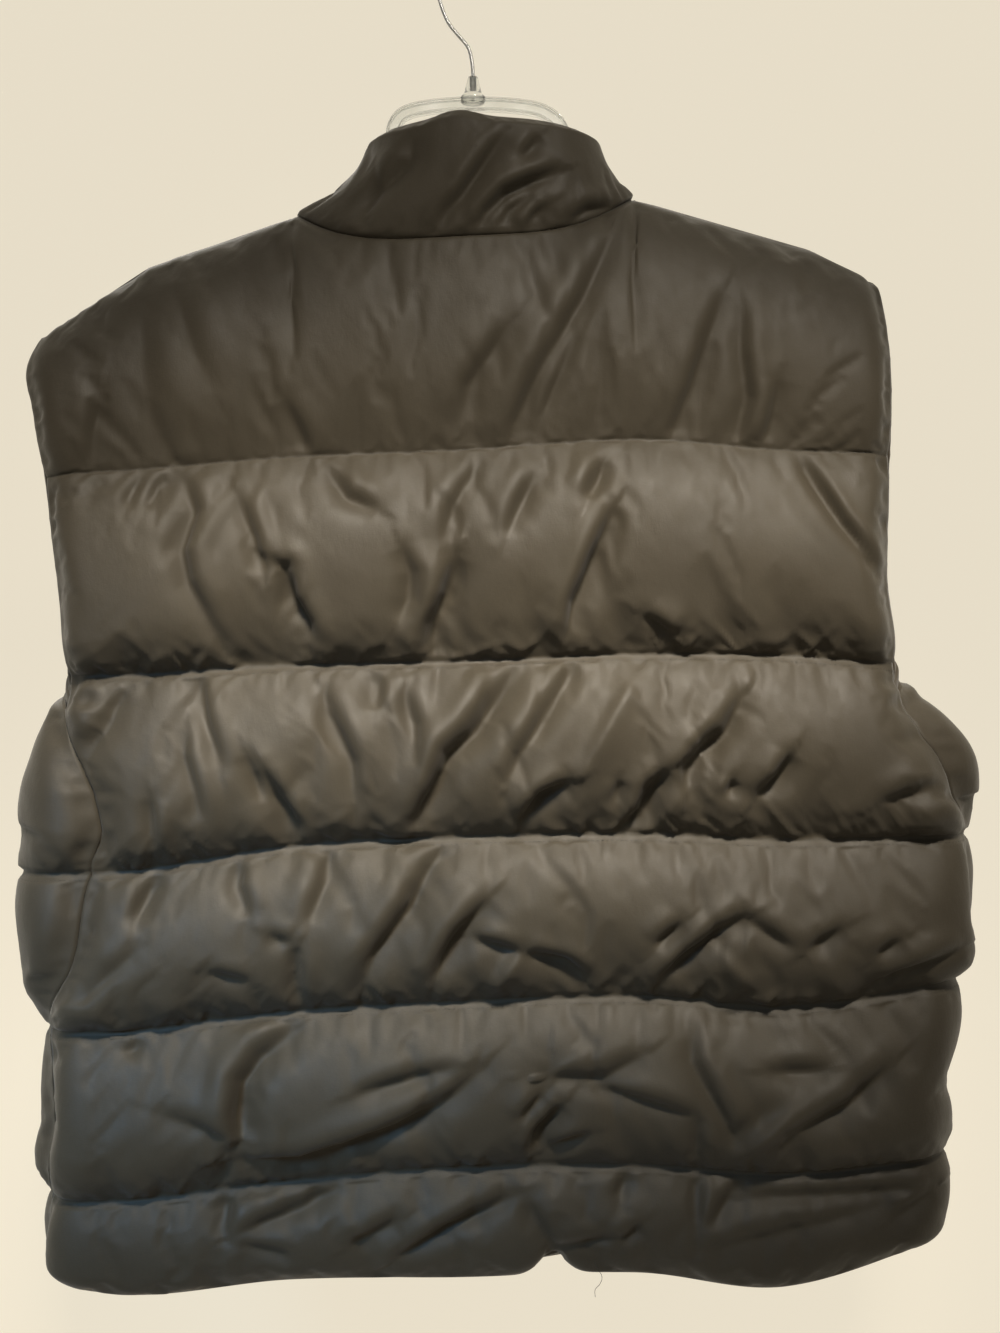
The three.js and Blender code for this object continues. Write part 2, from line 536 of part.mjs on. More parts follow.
function panelGeometry(panel) {
  const topWidths = panel.topWidths();
  const columns = topWidths.length;
  const [topFrom, topTo] = panel.ends(TOP);
  const topTurns = topWidths.map((x, j) => {
    if (j === 0) return topFrom;
    if (j === columns - 1) return topTo;
    const turn = turnAt(TOP, x, panel.onBack);
    if (panel.onBack) return turn;
    if (topTo > 0) return turn < 0 ? turn + 4 : turn;
    return turn > 0 ? turn - 4 : turn;
  });
  const turnOf = (level, j) => {
    const [from, to] = panel.ends(level);
    const rise = Math.max(0, level - (TOP - 1));
    const topShare = (topTurns[j] - topFrom) / (topTo - topFrom);
    const share = (j / (columns - 1)) * (1 - rise) + topShare * rise;
    return from + (to - from) * share;
  };
  const outerAt = (i, j) => {
    const level = LEVELS[i];
    const turn = turnOf(level, j);
    const [from, to] = panel.ends(level);
    const fromEdge = Math.min(turn - from, to - turn) * loopSizes(level).length;
    const wall = wallAt(level, turn, fromEdge, j / (columns - 1), panel.folds);
    const point = insideAt(level, turn).addScaledVector(outwardAt(level, turn), wall);
    const onShoulder = level === TOP && Math.abs(loopPlace(level, turn).x) > NECK_HALF - 0.01;
    if (onShoulder) point.y = (panel.onBack ? -1 : 1) * SEAM_GAP / 2;
    return point;
  };
  const innerAt = (i, j) => insideAt(LEVELS[i], turnOf(LEVELS[i], j));
  return wallGeometry(LEVELS.length, columns, everyNth(columns, 5), outerAt, innerAt);
}

function collarGeometry() {
  const angles = [...LEFT_ANGLES, ...BACK_ANGLES.slice(1, -1), ...RIGHT_ANGLES];
  const topZip = {
    left: -Math.PI - Math.asin((ZIP_X - ZIP_HALF - COLLAR.middle) / COLLAR.half),
    right: Math.PI - Math.asin((ZIP_X + ZIP_HALF - COLLAR.middle) / COLLAR.half),
  };
  const topPoint = (angle) => {
    const turned = angle * (angle < 0 ? topZip.left / ZIP_ANGLE.left : topZip.right / ZIP_ANGLE.right);
    const facing = Math.cos(turned);
    const flat = Math.sign(facing) * Math.abs(facing) ** COLLAR_TOP.square;
    const rim = facing > 0 ? COLLAR_TOP.back : COLLAR_TOP.front;
    const x = COLLAR.middle + COLLAR.half * Math.sin(turned);
    const offPeak = (x - COLLAR_PEAK.x) / COLLAR_PEAK.width;
    const peak = facing > 0 ? COLLAR_PEAK.rise * Math.exp(-offPeak * offPeak) : 0;
    return new THREE.Vector3(
      x,
      facing > 0 ? COLLAR.back * flat : COLLAR.front * -flat,
      COLLAR_TOP.side + (rim - COLLAR_TOP.side) * Math.abs(facing) ** COLLAR_TOP.square + peak,
    );
  };
  const insideCollar = (angle, rise) => {
    const foot = neckPoint(angle);
    const tangent = neckPoint(angle + 0.01).sub(neckPoint(angle - 0.01)).normalize();
    foot.addScaledVector(neckThickness(angle).cross(tangent).normalize(), NECK_GAP);
    const top = topPoint(angle);
    const inward = 1 - (1 - rise) ** (1 + (COLLAR_HOLLOW - 1) * Math.abs(Math.sin(angle)));
    const height = foot.z + (top.z - foot.z) * rise;
    return foot.lerp(top, inward).setZ(height);
  };
  const outwardCollar = (angle, rise) => {
    const flat = new THREE.Vector3(Math.sin(angle), -Math.cos(angle), COLLAR.lean).normalize();
    return neckThickness(angle).lerp(flat, Math.min(1, rise * COLLAR.turnBy)).normalize();
  };
  const outerAt = (i, j) => {
    const rise = COLLAR_RISE[i];
    const angle = angles[j];
    const fromZip = Math.min(angle - angles[0], angles.at(-1) - angle) * NECK_HALF / 2;
    const edge = Math.exp(-((fromZip / EDGE_REACH) ** 2));
    const base = COLLAR_WALL.seam + (COLLAR_WALL.top - COLLAR_WALL.seam) * rise;
    const swell = COLLAR_WALL.puff * Math.sqrt(Math.sin(Math.PI * rise ** COLLAR_WALL.bulge));
    const folds = COLLAR_FOLDS.map((fold) => ({ ...fold, path: fold.path.map(([a, h]) => [a / 90, h]) }));
    const depth = troughs(folds, THREE.MathUtils.radToDeg(angle) / 90, rise);
    const creases = depth * Math.min(1, swell / COLLAR.creaseSwell);
    const wall = base + swell * (1 - (1 - COLLAR_WALL.atZip) * edge) - creases * (1 - edge);
    return insideCollar(angle, rise).addScaledVector(outwardCollar(angle, rise), Math.max(wall, LEAST_WALL));
  };
  const innerAt = (i, j) => insideCollar(angles[j], COLLAR_RISE[i]);
  return wallGeometry(COLLAR_RISE.length, angles.length, everyNth(angles.length, 2), outerAt, innerAt);
}

// The turned edge runs up the back's side of the armhole, over the shoulder and down the front's
function armEdgeGeometry(side) {
  const levels = LEVELS.filter((level) => level >= ARMHOLE_FOOT);
  const name = side < 0 ? 'Left' : 'Right';
  const sectionAt = (level, way) => {
    const foot = level === ARMHOLE_FOOT;
    const lift = ARM_EDGE / (lineHeight(4, side * WIDTHS.at(-1)) - lineHeight(3, side * WIDTHS.at(-1)));
    const innerLevel = level + lift * (TOP - level) / (TOP - ARMHOLE_FOOT);
    const outerLevel = foot ? level + ARM_FOOT_LIFT : level;
    const risen = Math.min(1, (level - ARMHOLE_FOOT) / (ARM_GAP_TOP - ARMHOLE_FOOT));
    const gap = ARM_FOOT_GAP + (SEAM_GAP - ARM_FOOT_GAP) * risen;
    const open = Math.max(ringValue(`open${name}`, level) - gap, 0);
    const corner = (at, off, wall) => {
      const length = loopSizes(at).length;
      const turn = side * (1 - (ringValue(`seam${name}`, level) + way * off) / length);
      const point = insideAt(at, turn);
      point.addScaledVector(outwardAt(at, turn), wall);
      if (level === TOP) point.y = 0;
      return point;
    };
    const near = open;
    const far = foot ? 0 : Math.max(open - ARM_EDGE, open * ARM_EDGE_LIP.share);
    return [corner(outerLevel, near, 0), corner(outerLevel, near, ARM_EDGE_WALL),
      corner(innerLevel, far, ARM_EDGE_LIP.wall), corner(innerLevel, far, ARM_EDGE_LIP.turned)];
  };
  const up = levels.map((level) => sectionAt(level, 1));
  const down = levels.slice(1, -1).reverse().map((level) => sectionAt(level, -1));
  const sections = [...up, ...down];
  const points = sections.flat().flatMap((point) => [point.x, point.y, point.z]);
  const faces = [];
  for (let i = 0; i < sections.length; i += 1) {
    const next = (i + 1) % sections.length;
    for (let j = 0; j < 4; j += 1) {
      const [a, b, c, d] = [i * 4 + j, i * 4 + ((j + 1) % 4), next * 4 + ((j + 1) % 4), next * 4 + j];
      if (side < 0) faces.push(a, c, b, a, d, c);
      else faces.push(a, b, c, a, c, d);
    }
  }
  return indexed(points, faces);
}

// A bar or wire: a round section carried along a path in the XZ plane, with flat ends
function barGeometry(path, radius, sides) {
  const points = [];
  const faces = [];
  path.forEach(([x, z], i) => {
    const [ax, az] = path[Math.max(i - 1, 0)];
    const [bx, bz] = path[Math.min(i + 1, path.length - 1)];
    const length = Math.hypot(bx - ax, bz - az);
    const across = [-(bz - az) / length, (bx - ax) / length];
    for (let j = 0; j < sides; j += 1) {
      const angle = (2 * Math.PI * (j + 0.5)) / sides;
      const lift = Math.sin(angle) * radius;
      points.push(x + across[0] * lift, Math.cos(angle) * radius, z + across[1] * lift);
    }
  });
  for (let i = 0; i + 1 < path.length; i += 1) {
    for (let j = 0; j < sides; j += 1) {
      const [a, b] = [i * sides + j, i * sides + ((j + 1) % sides)];
      faces.push(a, b, b + sides, a, b + sides, a + sides);
    }
  }
  const last = (path.length - 1) * sides;
  for (let j = 1; j + 1 < sides; j += 1) {
    faces.push(0, j + 1, j);
    faces.push(last, last + j, last + j + 1);
  }
  return indexed(points, faces);
}

function rounded(path, step) {
  const through = path.map(([x, z]) => new THREE.Vector3(x, 0, z));
  const curve = new THREE.CatmullRomCurve3(through, false, 'centripetal');
  const count = Math.round(curve.getLength() / step);
  return curve.getSpacedPoints(count).map((point) => [point.x, point.z]);
}

function toSolid(geometry) {
  const bare = geometry.clone();
  bare.deleteAttribute('normal');
  bare.deleteAttribute('uv');
  const merged = mergeVertices(bare, 1e-4);
  return new wasm.Manifold(new wasm.Mesh({
    numProp: 3,
    vertProperties: new Float32Array(merged.attributes.position.array),
    triVerts: new Uint32Array(merged.index.array),
  }));
}

function fromSolid(solid) {
  const mesh = solid.getMesh();
  return indexed(Array.from(mesh.vertProperties), Array.from(mesh.triVerts));
}

const block = (x0, x1, y0, y1, z0, z1) => toSolid(new THREE.BoxGeometry(x1 - x0, y1 - y0, z1 - z0)
  .translate((x0 + x1) / 2, (y0 + y1) / 2, (z0 + z1) / 2));

function armPath(side) {
  const tip = side < 0 ? ARM_TIPS.left : ARM_TIPS.right;
  const start = side * (NECK_HALF + 4);
  const slope = (straightAt(SHOULDER, tip) - straightAt(SHOULDER, start)) / (tip - start);
  const drop = BAR.clear + BAR.half * Math.hypot(1, slope);
  return [start, (start + tip) / 2, tip].map((x) => [x, straightAt(SHOULDER, x) - drop]);
}

function hangerGeometry() {
  const left = armPath(-1).reverse();
  const crown = [left[2], ...CROWN_LEFT, [CROWN_TOP.x, CROWN_TOP.z], ...CROWN_RIGHT, armPath(1)[0]];
  const middle = rounded(crown, BAR.step);
  const path = [...left.slice(0, 2), ...middle, ...armPath(1).slice(1)];
  const bar = toSolid(barGeometry(path, BAR.half, BAR.sides));
  const profile = [[0, BOSS.foot], [BOSS.radius, BOSS.foot], [BOSS.radius, BOSS.flare],
    [BOSS.neck, BOSS.waist], [BOSS.topRadius, BOSS.top], [0, BOSS.top]];
  const boss = turned(profile, 16);
  const bore = turned([[0, BORE.foot], [BORE.radius, BORE.foot], [BORE.radius, BORE.head], [0, BORE.head]], 12);
  return fromSolid(bar.add(boss).subtract(bore));
}

function turned(profile, sides) {
  const lathe = new THREE.LatheGeometry(profile.map(([r, z]) => new THREE.Vector2(r, z)), sides);
  lathe.rotateX(Math.PI / 2).translate(CROWN_TOP.x, 0, 0);
  return toSolid(lathe);
}

function hookGeometry() {
  const middleZ = WIRE.radius - HOOK_RADIUS;
  const rise = rounded([...HOOK_STEM, [-HOOK_RADIUS, middleZ]], WIRE.step);
  const arc = steps(WIRE.arcSteps, Math.PI, THREE.MathUtils.degToRad(HOOK_END)).slice(1)
    .map((angle) => [HOOK_RADIUS * Math.cos(angle), middleZ + HOOK_RADIUS * Math.sin(angle)]);
  return barGeometry([...rise, ...arc], WIRE.radius, WIRE.sides);
}

const zipMiddleY = (CHAIN.back + CHAIN.front) / 2;
const zipFoot = hemHeight(ZIP_X) + 1;
const zipHead = COLLAR_TOP.front - 1;
const plateFront = CHAIN.front + SLIDER.gap + SLIDER.plate;
const pinY = plateFront + PULL.offset;

function tapeGeometry(side) {
  const near = CHAIN.half + SEAM_GAP;
  const far = ZIP_HALF - SEAM_GAP;
  const middle = ZIP_X + side * (near + far) / 2;
  return new THREE.BoxGeometry(far - near, TAPE.front - TAPE.back, zipHead - zipFoot)
    .translate(middle, (TAPE.front + TAPE.back) / 2, (zipHead + zipFoot) / 2);
}

function chainGeometry() {
  const head = SLIDER.z + SLIDER.mouth - SLIDER.gap;
  return new THREE.BoxGeometry(2 * CHAIN.half, CHAIN.front - CHAIN.back, head - zipFoot)
    .translate(ZIP_X, zipMiddleY, (head + zipFoot) / 2);
}

function sliderGeometry() {
  const [left, right] = [ZIP_X - SLIDER.half, ZIP_X + SLIDER.half];
  const [foot, head] = [SLIDER.z - SLIDER.tall / 2, SLIDER.z + SLIDER.tall / 2];
  const rear = CHAIN.back - SLIDER.gap;
  const front = CHAIN.front + SLIDER.gap;
  const bar = plateFront + BRIDGE.reach;
  const post = (from, to) => block(ZIP_X - BRIDGE.half, ZIP_X + BRIDGE.half, plateFront - SUNK, bar, from, to);
  const solid = block(left, right, rear - SLIDER.plate, rear, foot, head)
    .add(block(left, right, front, plateFront, foot, head))
    .add(block(ZIP_X - SLIDER.web, ZIP_X + SLIDER.web, rear - SUNK, front + SUNK, SLIDER.z + SLIDER.mouth, head))
    .add(post(SLIDER.z - BRIDGE.spread, SLIDER.z - BRIDGE.spread + BRIDGE.post))
    .add(post(SLIDER.z + BRIDGE.spread - BRIDGE.post, SLIDER.z + BRIDGE.spread))
    .add(block(ZIP_X - BRIDGE.half, ZIP_X + BRIDGE.half, bar - BRIDGE.bar, bar,
      SLIDER.z - BRIDGE.spread, SLIDER.z + BRIDGE.spread));
  return fromSolid(solid);
}

function pullGeometry() {
  const [back, front] = [pinY - PULL.pin, pinY + PULL.pin];
  const pin = toSolid(new THREE.CylinderGeometry(PULL.pin, PULL.pin, 2 * PULL.ring, 10)
    .rotateZ(Math.PI / 2).translate(ZIP_X, pinY, SLIDER.z));
  const arm = (from, to) => block(ZIP_X + from, ZIP_X + to, back, front, SLIDER.z - PULL.drop - 1, SLIDER.z);
  const tab = block(ZIP_X - PULL.half, ZIP_X + PULL.half, back, front,
    SLIDER.z - PULL.length, SLIDER.z - PULL.drop);
  return fromSolid(pin.add(arm(-PULL.ring, -PULL.ring + PULL.arm))
    .add(arm(PULL.ring - PULL.arm, PULL.ring)).add(tab));
}

const finishes = {
  cloth: { color: 0x4b4639, roughness: 0.62, metalness: 0 },
  trim: { color: 0x37332a, roughness: 0.7, metalness: 0 },
  tape: { color: 0x23221f, roughness: 0.85, metalness: 0 },
  teeth: { color: 0x1b1b1b, roughness: 0.4, metalness: 0 },
  metal: { color: 0x77756f, roughness: 0.35, metalness: 1 },
  wire: { color: 0xc9c9c6, roughness: 0.18, metalness: 1 },
  clear: { color: 0xdfe3e0, roughness: 0.1, metalness: 0 },
};

const vest = new THREE.Group();
const addPiece = (name, geometry, finish) => {
  const mesh = new THREE.Mesh(geometry, new THREE.MeshStandardMaterial(finishes[finish]));
  mesh.name = name;
  vest.add(mesh);
};

Object.keys(PANELS).forEach((name) => addPiece(name, panelGeometry(PANELS[name]), 'cloth'));
addPiece('collar', collarGeometry(), 'cloth');
addPiece('armhole_left', armEdgeGeometry(-1), 'trim');
addPiece('armhole_right', armEdgeGeometry(1), 'trim');
addPiece('zip_tape_left', tapeGeometry(-1), 'tape');
addPiece('zip_tape_right', tapeGeometry(1), 'tape');
addPiece('zip_chain', chainGeometry(), 'teeth');
addPiece('zip_slider', sliderGeometry(), 'metal');
addPiece('zip_pull', pullGeometry(), 'metal');
addPiece('hanger_body', hangerGeometry(), 'clear');
addPiece('hanger_hook', hookGeometry(), 'wire');

export default vest;
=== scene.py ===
# A padded puffer vest, zipped shut on a clear hanger with a bright wire hook.
import math
import bpy
import numpy as np
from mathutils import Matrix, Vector


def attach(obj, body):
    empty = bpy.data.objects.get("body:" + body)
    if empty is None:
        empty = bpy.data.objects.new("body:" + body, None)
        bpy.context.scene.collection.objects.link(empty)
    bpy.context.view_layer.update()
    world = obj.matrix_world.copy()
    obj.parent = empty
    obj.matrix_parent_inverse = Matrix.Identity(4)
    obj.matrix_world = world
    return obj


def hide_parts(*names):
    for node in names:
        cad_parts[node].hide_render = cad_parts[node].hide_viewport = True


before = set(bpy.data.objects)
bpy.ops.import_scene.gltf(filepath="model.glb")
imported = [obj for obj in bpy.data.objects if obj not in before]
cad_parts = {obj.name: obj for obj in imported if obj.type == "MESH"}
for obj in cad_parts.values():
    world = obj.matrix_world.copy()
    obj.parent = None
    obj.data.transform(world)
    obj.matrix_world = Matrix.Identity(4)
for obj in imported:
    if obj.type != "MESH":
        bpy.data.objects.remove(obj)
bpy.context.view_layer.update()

MM = 0.001

# Camera, at the height of the garment's middle and square to its back
camera_data = bpy.data.cameras.new("camera")
camera_data.lens = 51.63
camera_data.sensor_width = 36
camera = bpy.data.objects.new("camera", camera_data)
camera.location = (0.0251, -1.35, -0.5135)
camera.rotation_euler = (math.pi / 2, 0, 0)
bpy.context.scene.collection.objects.link(camera)
bpy.context.scene.camera = camera

# The vest's cut, in millimetres, as in its solids
SEAM_GAP = 0.3                 # between two pieces that are sewn together
SEAM_WALL = 5                  # the wall on a quilting line
RIDGE_WALL = 7                 # the wall along the shoulders and round the neck
CAP_WIDTH = 26                 # the rounded stretch at each side
BOW = 0.12                     # the share of its depth that the garment loses toward its sides
NECK_HALF = 113
NECK_LEAN = 0.9
NECK_BACK = (-40, 25, 3.75)    # its depth, how far it dips and how square it is
NECK_FRONT = (46, 62, 2.2)
FRONT_DEPTH = 46
ZIP_X = 6
ZIP_HALF = 9                   # from the zip's middle to each front's edge
TOP = 6                        # the level of the shoulders: a level counts the channels up
PUFF = (12, 19, 19, 19, 19, 9)  # how far each channel is filled, from the hem up
ARMHOLE_FOOT = 3.82            # the level where both armholes begin
LEAN_REACH = 26                # how far past the neck the shoulders lean to the collar's foot
SMALL = 0.004                  # a short step of level or of turn, for slopes

# Heights of the hem and of the five quilting lines, one row each, at these places across
WIDTHS = (-290, -220, -120, 0, 120, 220, 335)
LINES = (
    (-936, -943, -932, -930, -927, -937, -902),
    (-880, -876, -863, -853, -852, -858, -847),
    (-764, -761, -748, -741, -737, -745, -728),
    (-655, -652, -636, -629, -627, -631, -629),
    (-520, -519, -513, -510, -505, -506, -516),
    (-383, -379, -371, -366, -359, -366, -369),
)
HEM_NOTCH = (61, 13, 14)       # its middle, its width and how far it rises

# The garment's two sides and its depth behind, the side seams' distance from the sides and
# half the armholes' opening, at levels from the hem up
RING_NAMES = ("level", "left", "right", "back", "seam_left", "open_left", "seam_right", "open_right")
RINGS = (
    (0, -280, 321, 40, 8, 0, 0, 0),
    (1, -284, 331, 45, 20, 0, 0, 0),
    (1.4, -277, 318, 46, 22, 0, 0, 0),
    (1.8, -282, 336, 46, 23, 0, 2, 0),
    (2, -286, 340, 46, 24, 0, 4, 0),
    (2.4, -285, 338, 46, 52, 0, 12, 0),
    (3, -304, 346, 46, 84, 0, 20, 0),
    (3.2, -292, 337, 46, 80, 0, 32, 0),
    (3.4, -289, 335, 46, 72, 0, 42, 0),
    (3.55, -284, 324, 46, 58, 0, 44, 0),
    (3.7, -279, 308, 46, 42, 0, 36, 0),
    (3.82, -276, 302, 46, 30, 0, 30, 0),
    (3.89, -275, 300, 46, 20, 13, 20, 13),
    (4, -276, 301, 45, 8, 25, 8, 25),
    (4.4, -279, 292, 45, 2, 30, 2, 30),
    (5, -292, 297, 44, 0, 31, 0, 31),
    (5.5, -300, 297, 43, 0, 30, 0, 30),
    (5.8, -306, 295, 43, 0, 29, 0, 29),
    (6, -300, 293, 42, 0, 28, 0, 28),
)

# The shoulder line: across and up
SHOULDER = (
    (-340, -319.4), (-300, -292), (-262, -266), (-221, -239), (-113, -201),
    (113, -189), (241, -226), (271, -241), (293, -253), (330, -273),
)

# Creases of the back, seen from behind: where each runs, its depth and its width
BACK_FOLDS = [
    # Yoke
    ([(-221, -256), (-215, -316), (-209, -376)], 3, 20),
    ([(-246, -328), (-251, -354), (-253, -376)], 3, 8),
    ([(-199, -249), (-181, -301), (-168, -327)], 2, 12),
    ([(-121, -334), (-104, -372)], 2.5, 8),
    ([(33, -281), (18, -303), (4, -324), (-1, -346)], 3, 9),
    ([(102, -216), (81, -262), (53, -312), (31, -360)], 5, 9),
    ([(78, -287), (64, -321), (50, -353)], 3, 7),
    ([(96, -293), (93, -338), (94, -359)], 2, 7),
    ([(178, -259), (166, -291), (156, -324), (141, -359)], 4, 9),
    ([(190, -268), (189, -301), (193, -331), (186, -359)], 3.5, 7),
    ([(215, -320), (207, -361)], 3, 7),
    # Second channel
    ([(-220, -382), (-229, -406)], 2, 6),
    ([(-203, -382), (-215, -406)], 2.5, 6),
    ([(-191, -382), (-181, -408), (-189, -434), (-184, -457), (-174, -476), (-164, -497)], 5, 8),
    ([(-152, -398), (-141, -425), (-133, -451)], 4, 7),
    ([(-129, -441), (-119, -447), (-115, -468), (-105, -485), (-103, -497)], 6, 7),
    ([(-92, -379), (-78, -398), (-57, -408)], 4, 7),
    ([(-3, -441), (-10, -465), (-19, -485), (-20, -507)], 7, 8),
    ([(8, -380), (-6, -404), (-13, -430)], 3, 7),
    ([(-41, -434), (-34, -451), (-34, -468), (-42, -485)], 4.5, 7),
    ([(50, -382), (38, -404), (30, -425)], 3.5, 7),
    ([(96, -373), (84, -400)], 5, 7),
    ([(103, -406), (93, -430), (83, -456), (76, -471), (71, -497)], 7, 8),
    ([(121, -480), (142, -495)], 4, 7),
    ([(229, -373), (242, -394), (255, -415), (270, -434), (281, -449)], 4.5, 4.5),
    # Third channel
    ([(-230, -529), (-242, -552), (-258, -573)], 5, 11),
    ([(-252, -530), (-259, -542)], 3, 6),
    ([(-179, -521), (-174, -547), (-165, -571), (-162, -581)], 4, 7),
    ([(-186, -556), (-187, -573), (-179, -599), (-175, -616)], 3.5, 6),
    ([(-210, -602), (-208, -638)], 4, 6),
    ([(-145, -573), (-133, -605)], 4, 6),
    ([(-134, -581), (-122, -605), (-111, -624)], 5, 6),
    ([(-95, -530), (-86, -552), (-74, -578), (-72, -605)], 5, 8),
    ([(-56, -517), (-58, -543)], 3, 7),
    ([(-41, -530), (-32, -552), (-31, -581)], 3, 7),
    ([(33, -518), (18, -539), (7, -556), (-9, -573), (-19, -599), (-32, -621)], 9, 9),
    ([(76, -512), (62, -533), (50, -554), (38, -573), (31, -590)], 5, 8),
    ([(119, -517), (96, -556), (76, -592)], -3, 9),
    ([(72, -592), (53, -602), (40, -619)], 7, 7),
    ([(106, -590), (103, -605)], 3, 5),
    ([(139, -583), (126, -597), (121, -612), (112, -623)], 7, 7),
    ([(188, -535), (176, -556), (161, -570), (152, -583), (151, -595)], 8, 8),
    ([(221, -573), (213, -588), (199, -602)], 7, 7),
    ([(183, -590), (178, -601)], 4, 5),
    ([(281, -607), (324, -592)], 4, 8),
    # Fourth channel
    ([(-208, -648), (-214, -667), (-220, -685)], 4, 8),
    ([(-150, -646), (-152, -660), (-143, -681)], 4, 7),
    ([(-90, -636), (-93, -658), (-103, -685)], 4, 8),
    ([(-13, -636), (-25, -650), (-35, -674), (-48, -693), (-61, -711), (-67, -728)], 7, 9),
    ([(18, -669), (-2, -693), (-11, -709), (-19, -726)], 7, 8),
    ([(6, -697), (37, -705)], 4, 6),
    ([(39, -707), (20, -730)], -3, 6),
    ([(43, -705), (69, -713), (82, -724)], 5, 6),
    ([(189, -682), (172, -691), (153, -707), (133, -726)], 7, 7),
    ([(148, -685), (129, -702)], 5, 7),
    ([(190, -682), (222, -704)], 4, 7),
    ([(172, -705), (192, -726)], -2.5, 5),
    ([(256, -689), (231, -705)], 4, 7),
    ([(295, -697), (278, -709)], 4, 7),
    ([(339, -705), (278, -730)], 5, 8),
    ([(-218, -704), (-265, -741)], 3, 9),
    ([(-131, -693), (-116, -700)], 3, 6),
    ([(-112, -702), (-111, -741)], 4, 6),
    ([(-172, -719), (-144, -726)], 3, 6),
    # Fifth channel
    ([(-116, -760), (-138, -775), (-148, -791), (-150, -815), (-148, -834), (-159, -841)], 8, 9),
    ([(-218, -763), (-230, -776)], 4, 7),
    ([(-207, -812), (-157, -830)], 3, 9),
    ([(-153, -849), (-109, -849), (-52, -828), (-29, -817), (-5, -800), (10, -785)], 7, 9),
    ([(-72, -800), (-48, -793), (-5, -782)], 4, 7),
    ([(121, -773), (95, -789), (58, -789), (59, -778)], 5, 9),
    ([(67, -808), (51, -828), (47, -841)], 7, 7),
    ([(54, -800), (39, -819)], 5, 6),
    ([(91, -797), (119, -804), (156, -816)], 4, 7),
    ([(86, -828), (58, -841)], 4, 6),
    ([(158, -817), (158, -849)], 4, 6),
    ([(221, -812), (182, -843)], -4, 7),
    ([(289, -782), (260, -808), (222, -828)], 6, 9),
    ([(153, -763), (155, -778), (165, -797), (182, -830)], 5, 7),
    ([(204, -785), (246, -785)], 4, 7),
    ([(155, -740), (183, -748), (229, -744), (260, -744)], 3, 4),
    # Hem channel
    ([(-81, -860), (-107, -877), (-153, -897)], 5, 8),
    ([(-151, -904), (-118, -912)], 3, 6),
    ([(-160, -849), (-162, -906)], 4, 9),
    ([(34, -871), (-9, -892), (-46, -916)], 6, 7),
    ([(-44, -888), (-76, -906)], 4, 8),
    ([(62, -908), (43, -875)], 4, 8),
    ([(62, -908), (106, -899)], 3, 7),
    ([(112, -856), (104, -873)], 3, 6),
    ([(121, -890), (108, -904)], 3.5, 6),
    ([(158, -856), (158, -910)], 3, 5),
    ([(187, -863), (166, -893)], 4, 7),
    ([(194, -873), (250, -871), (322, -867)], 4, 7),
    ([(159, -910), (287, -879)], 3, 9),
    ([(322, -871), (293, -888)], 3, 7),
]

# The front's creases: the back's, moved and shallower, without every fifth one
FRONT_FOLDS = [
    ([(x + 8, z - 3) for x, z in path], 0.9 * depth, width)
    for number, (path, depth, width) in enumerate(BACK_FOLDS) if number % 5
]

# The collar's creases, seen from behind
COLLAR_FOLDS = [
    ([(-20, -220), (-11, -205), (0, -193), (17, -168), (29, -151)], 4, 6),
    ([(6, -221), (17, -205), (29, -193), (47, -184), (65, -176)], 6, 6),
    ([(22, -219), (32, -205), (49, -193)], 4, 5),
    ([(41, -220), (49, -208), (59, -199)], 4, 5),
    ([(40, -169), (53, -153)], 3, 5),
    ([(110, -195), (86, -201), (71, -213)], 5, 6),
    ([(-34, -153), (-37, -168), (-62, -190), (-73, -201)], 3, 8),
]


# The form that the cloth follows

def curve(places, values, at):
    """A smooth line through a short table."""
    places, values = np.asarray(places, float), np.asarray(values, float)
    last = len(places) - 1
    x = np.clip(at, places[0], places[-1])
    i = np.clip(np.searchsorted(places, x) - 1, 0, last - 1)
    before = np.maximum(np.arange(last + 1) - 1, 0)
    after = np.minimum(np.arange(last + 1) + 1, last)
    slopes = (values[after] - values[before]) / (places[after] - places[before])
    span = places[i + 1] - places[i]
    t = (x - places[i]) / span
    s = 1 - t
    return (s * s * (1 + 2 * t) * values[i] + t * t * (3 - 2 * t) * values[i + 1]
            + span * s * s * t * slopes[i] - span * t * t * s * slopes[i + 1])


def ring_smooth(name, level):
    """A named column of the rings at a level, along a smooth line."""
    column = RING_NAMES.index(name)
    return curve([row[0] for row in RINGS], [row[column] for row in RINGS], level)


def ring_straight(name, level):
    """A named column of the rings at a level, along straight lines."""
    column = RING_NAMES.index(name)
    return np.interp(level, [row[0] for row in RINGS], [row[column] for row in RINGS])


def shoulder_height(x):
    return np.interp(x, [p[0] for p in SHOULDER], [p[1] for p in SHOULDER])


def line_heights(x):
    """Heights of the hem and the five quilting lines, one row each."""
    heights = np.stack([curve(WIDTHS, row, x) for row in LINES])
    middle, width, rise = HEM_NOTCH
    heights[0] += rise * np.exp(-((x - middle) / width) ** 2)
    return heights


def unit(vectors):
    return vectors / np.maximum(np.linalg.norm(vectors, axis=-1, keepdims=True), 1e-9)


def smooth_step(x, low, high):
    t = np.clip((x - low) / (high - low), 0, 1)
    return t * t * (3 - 2 * t)


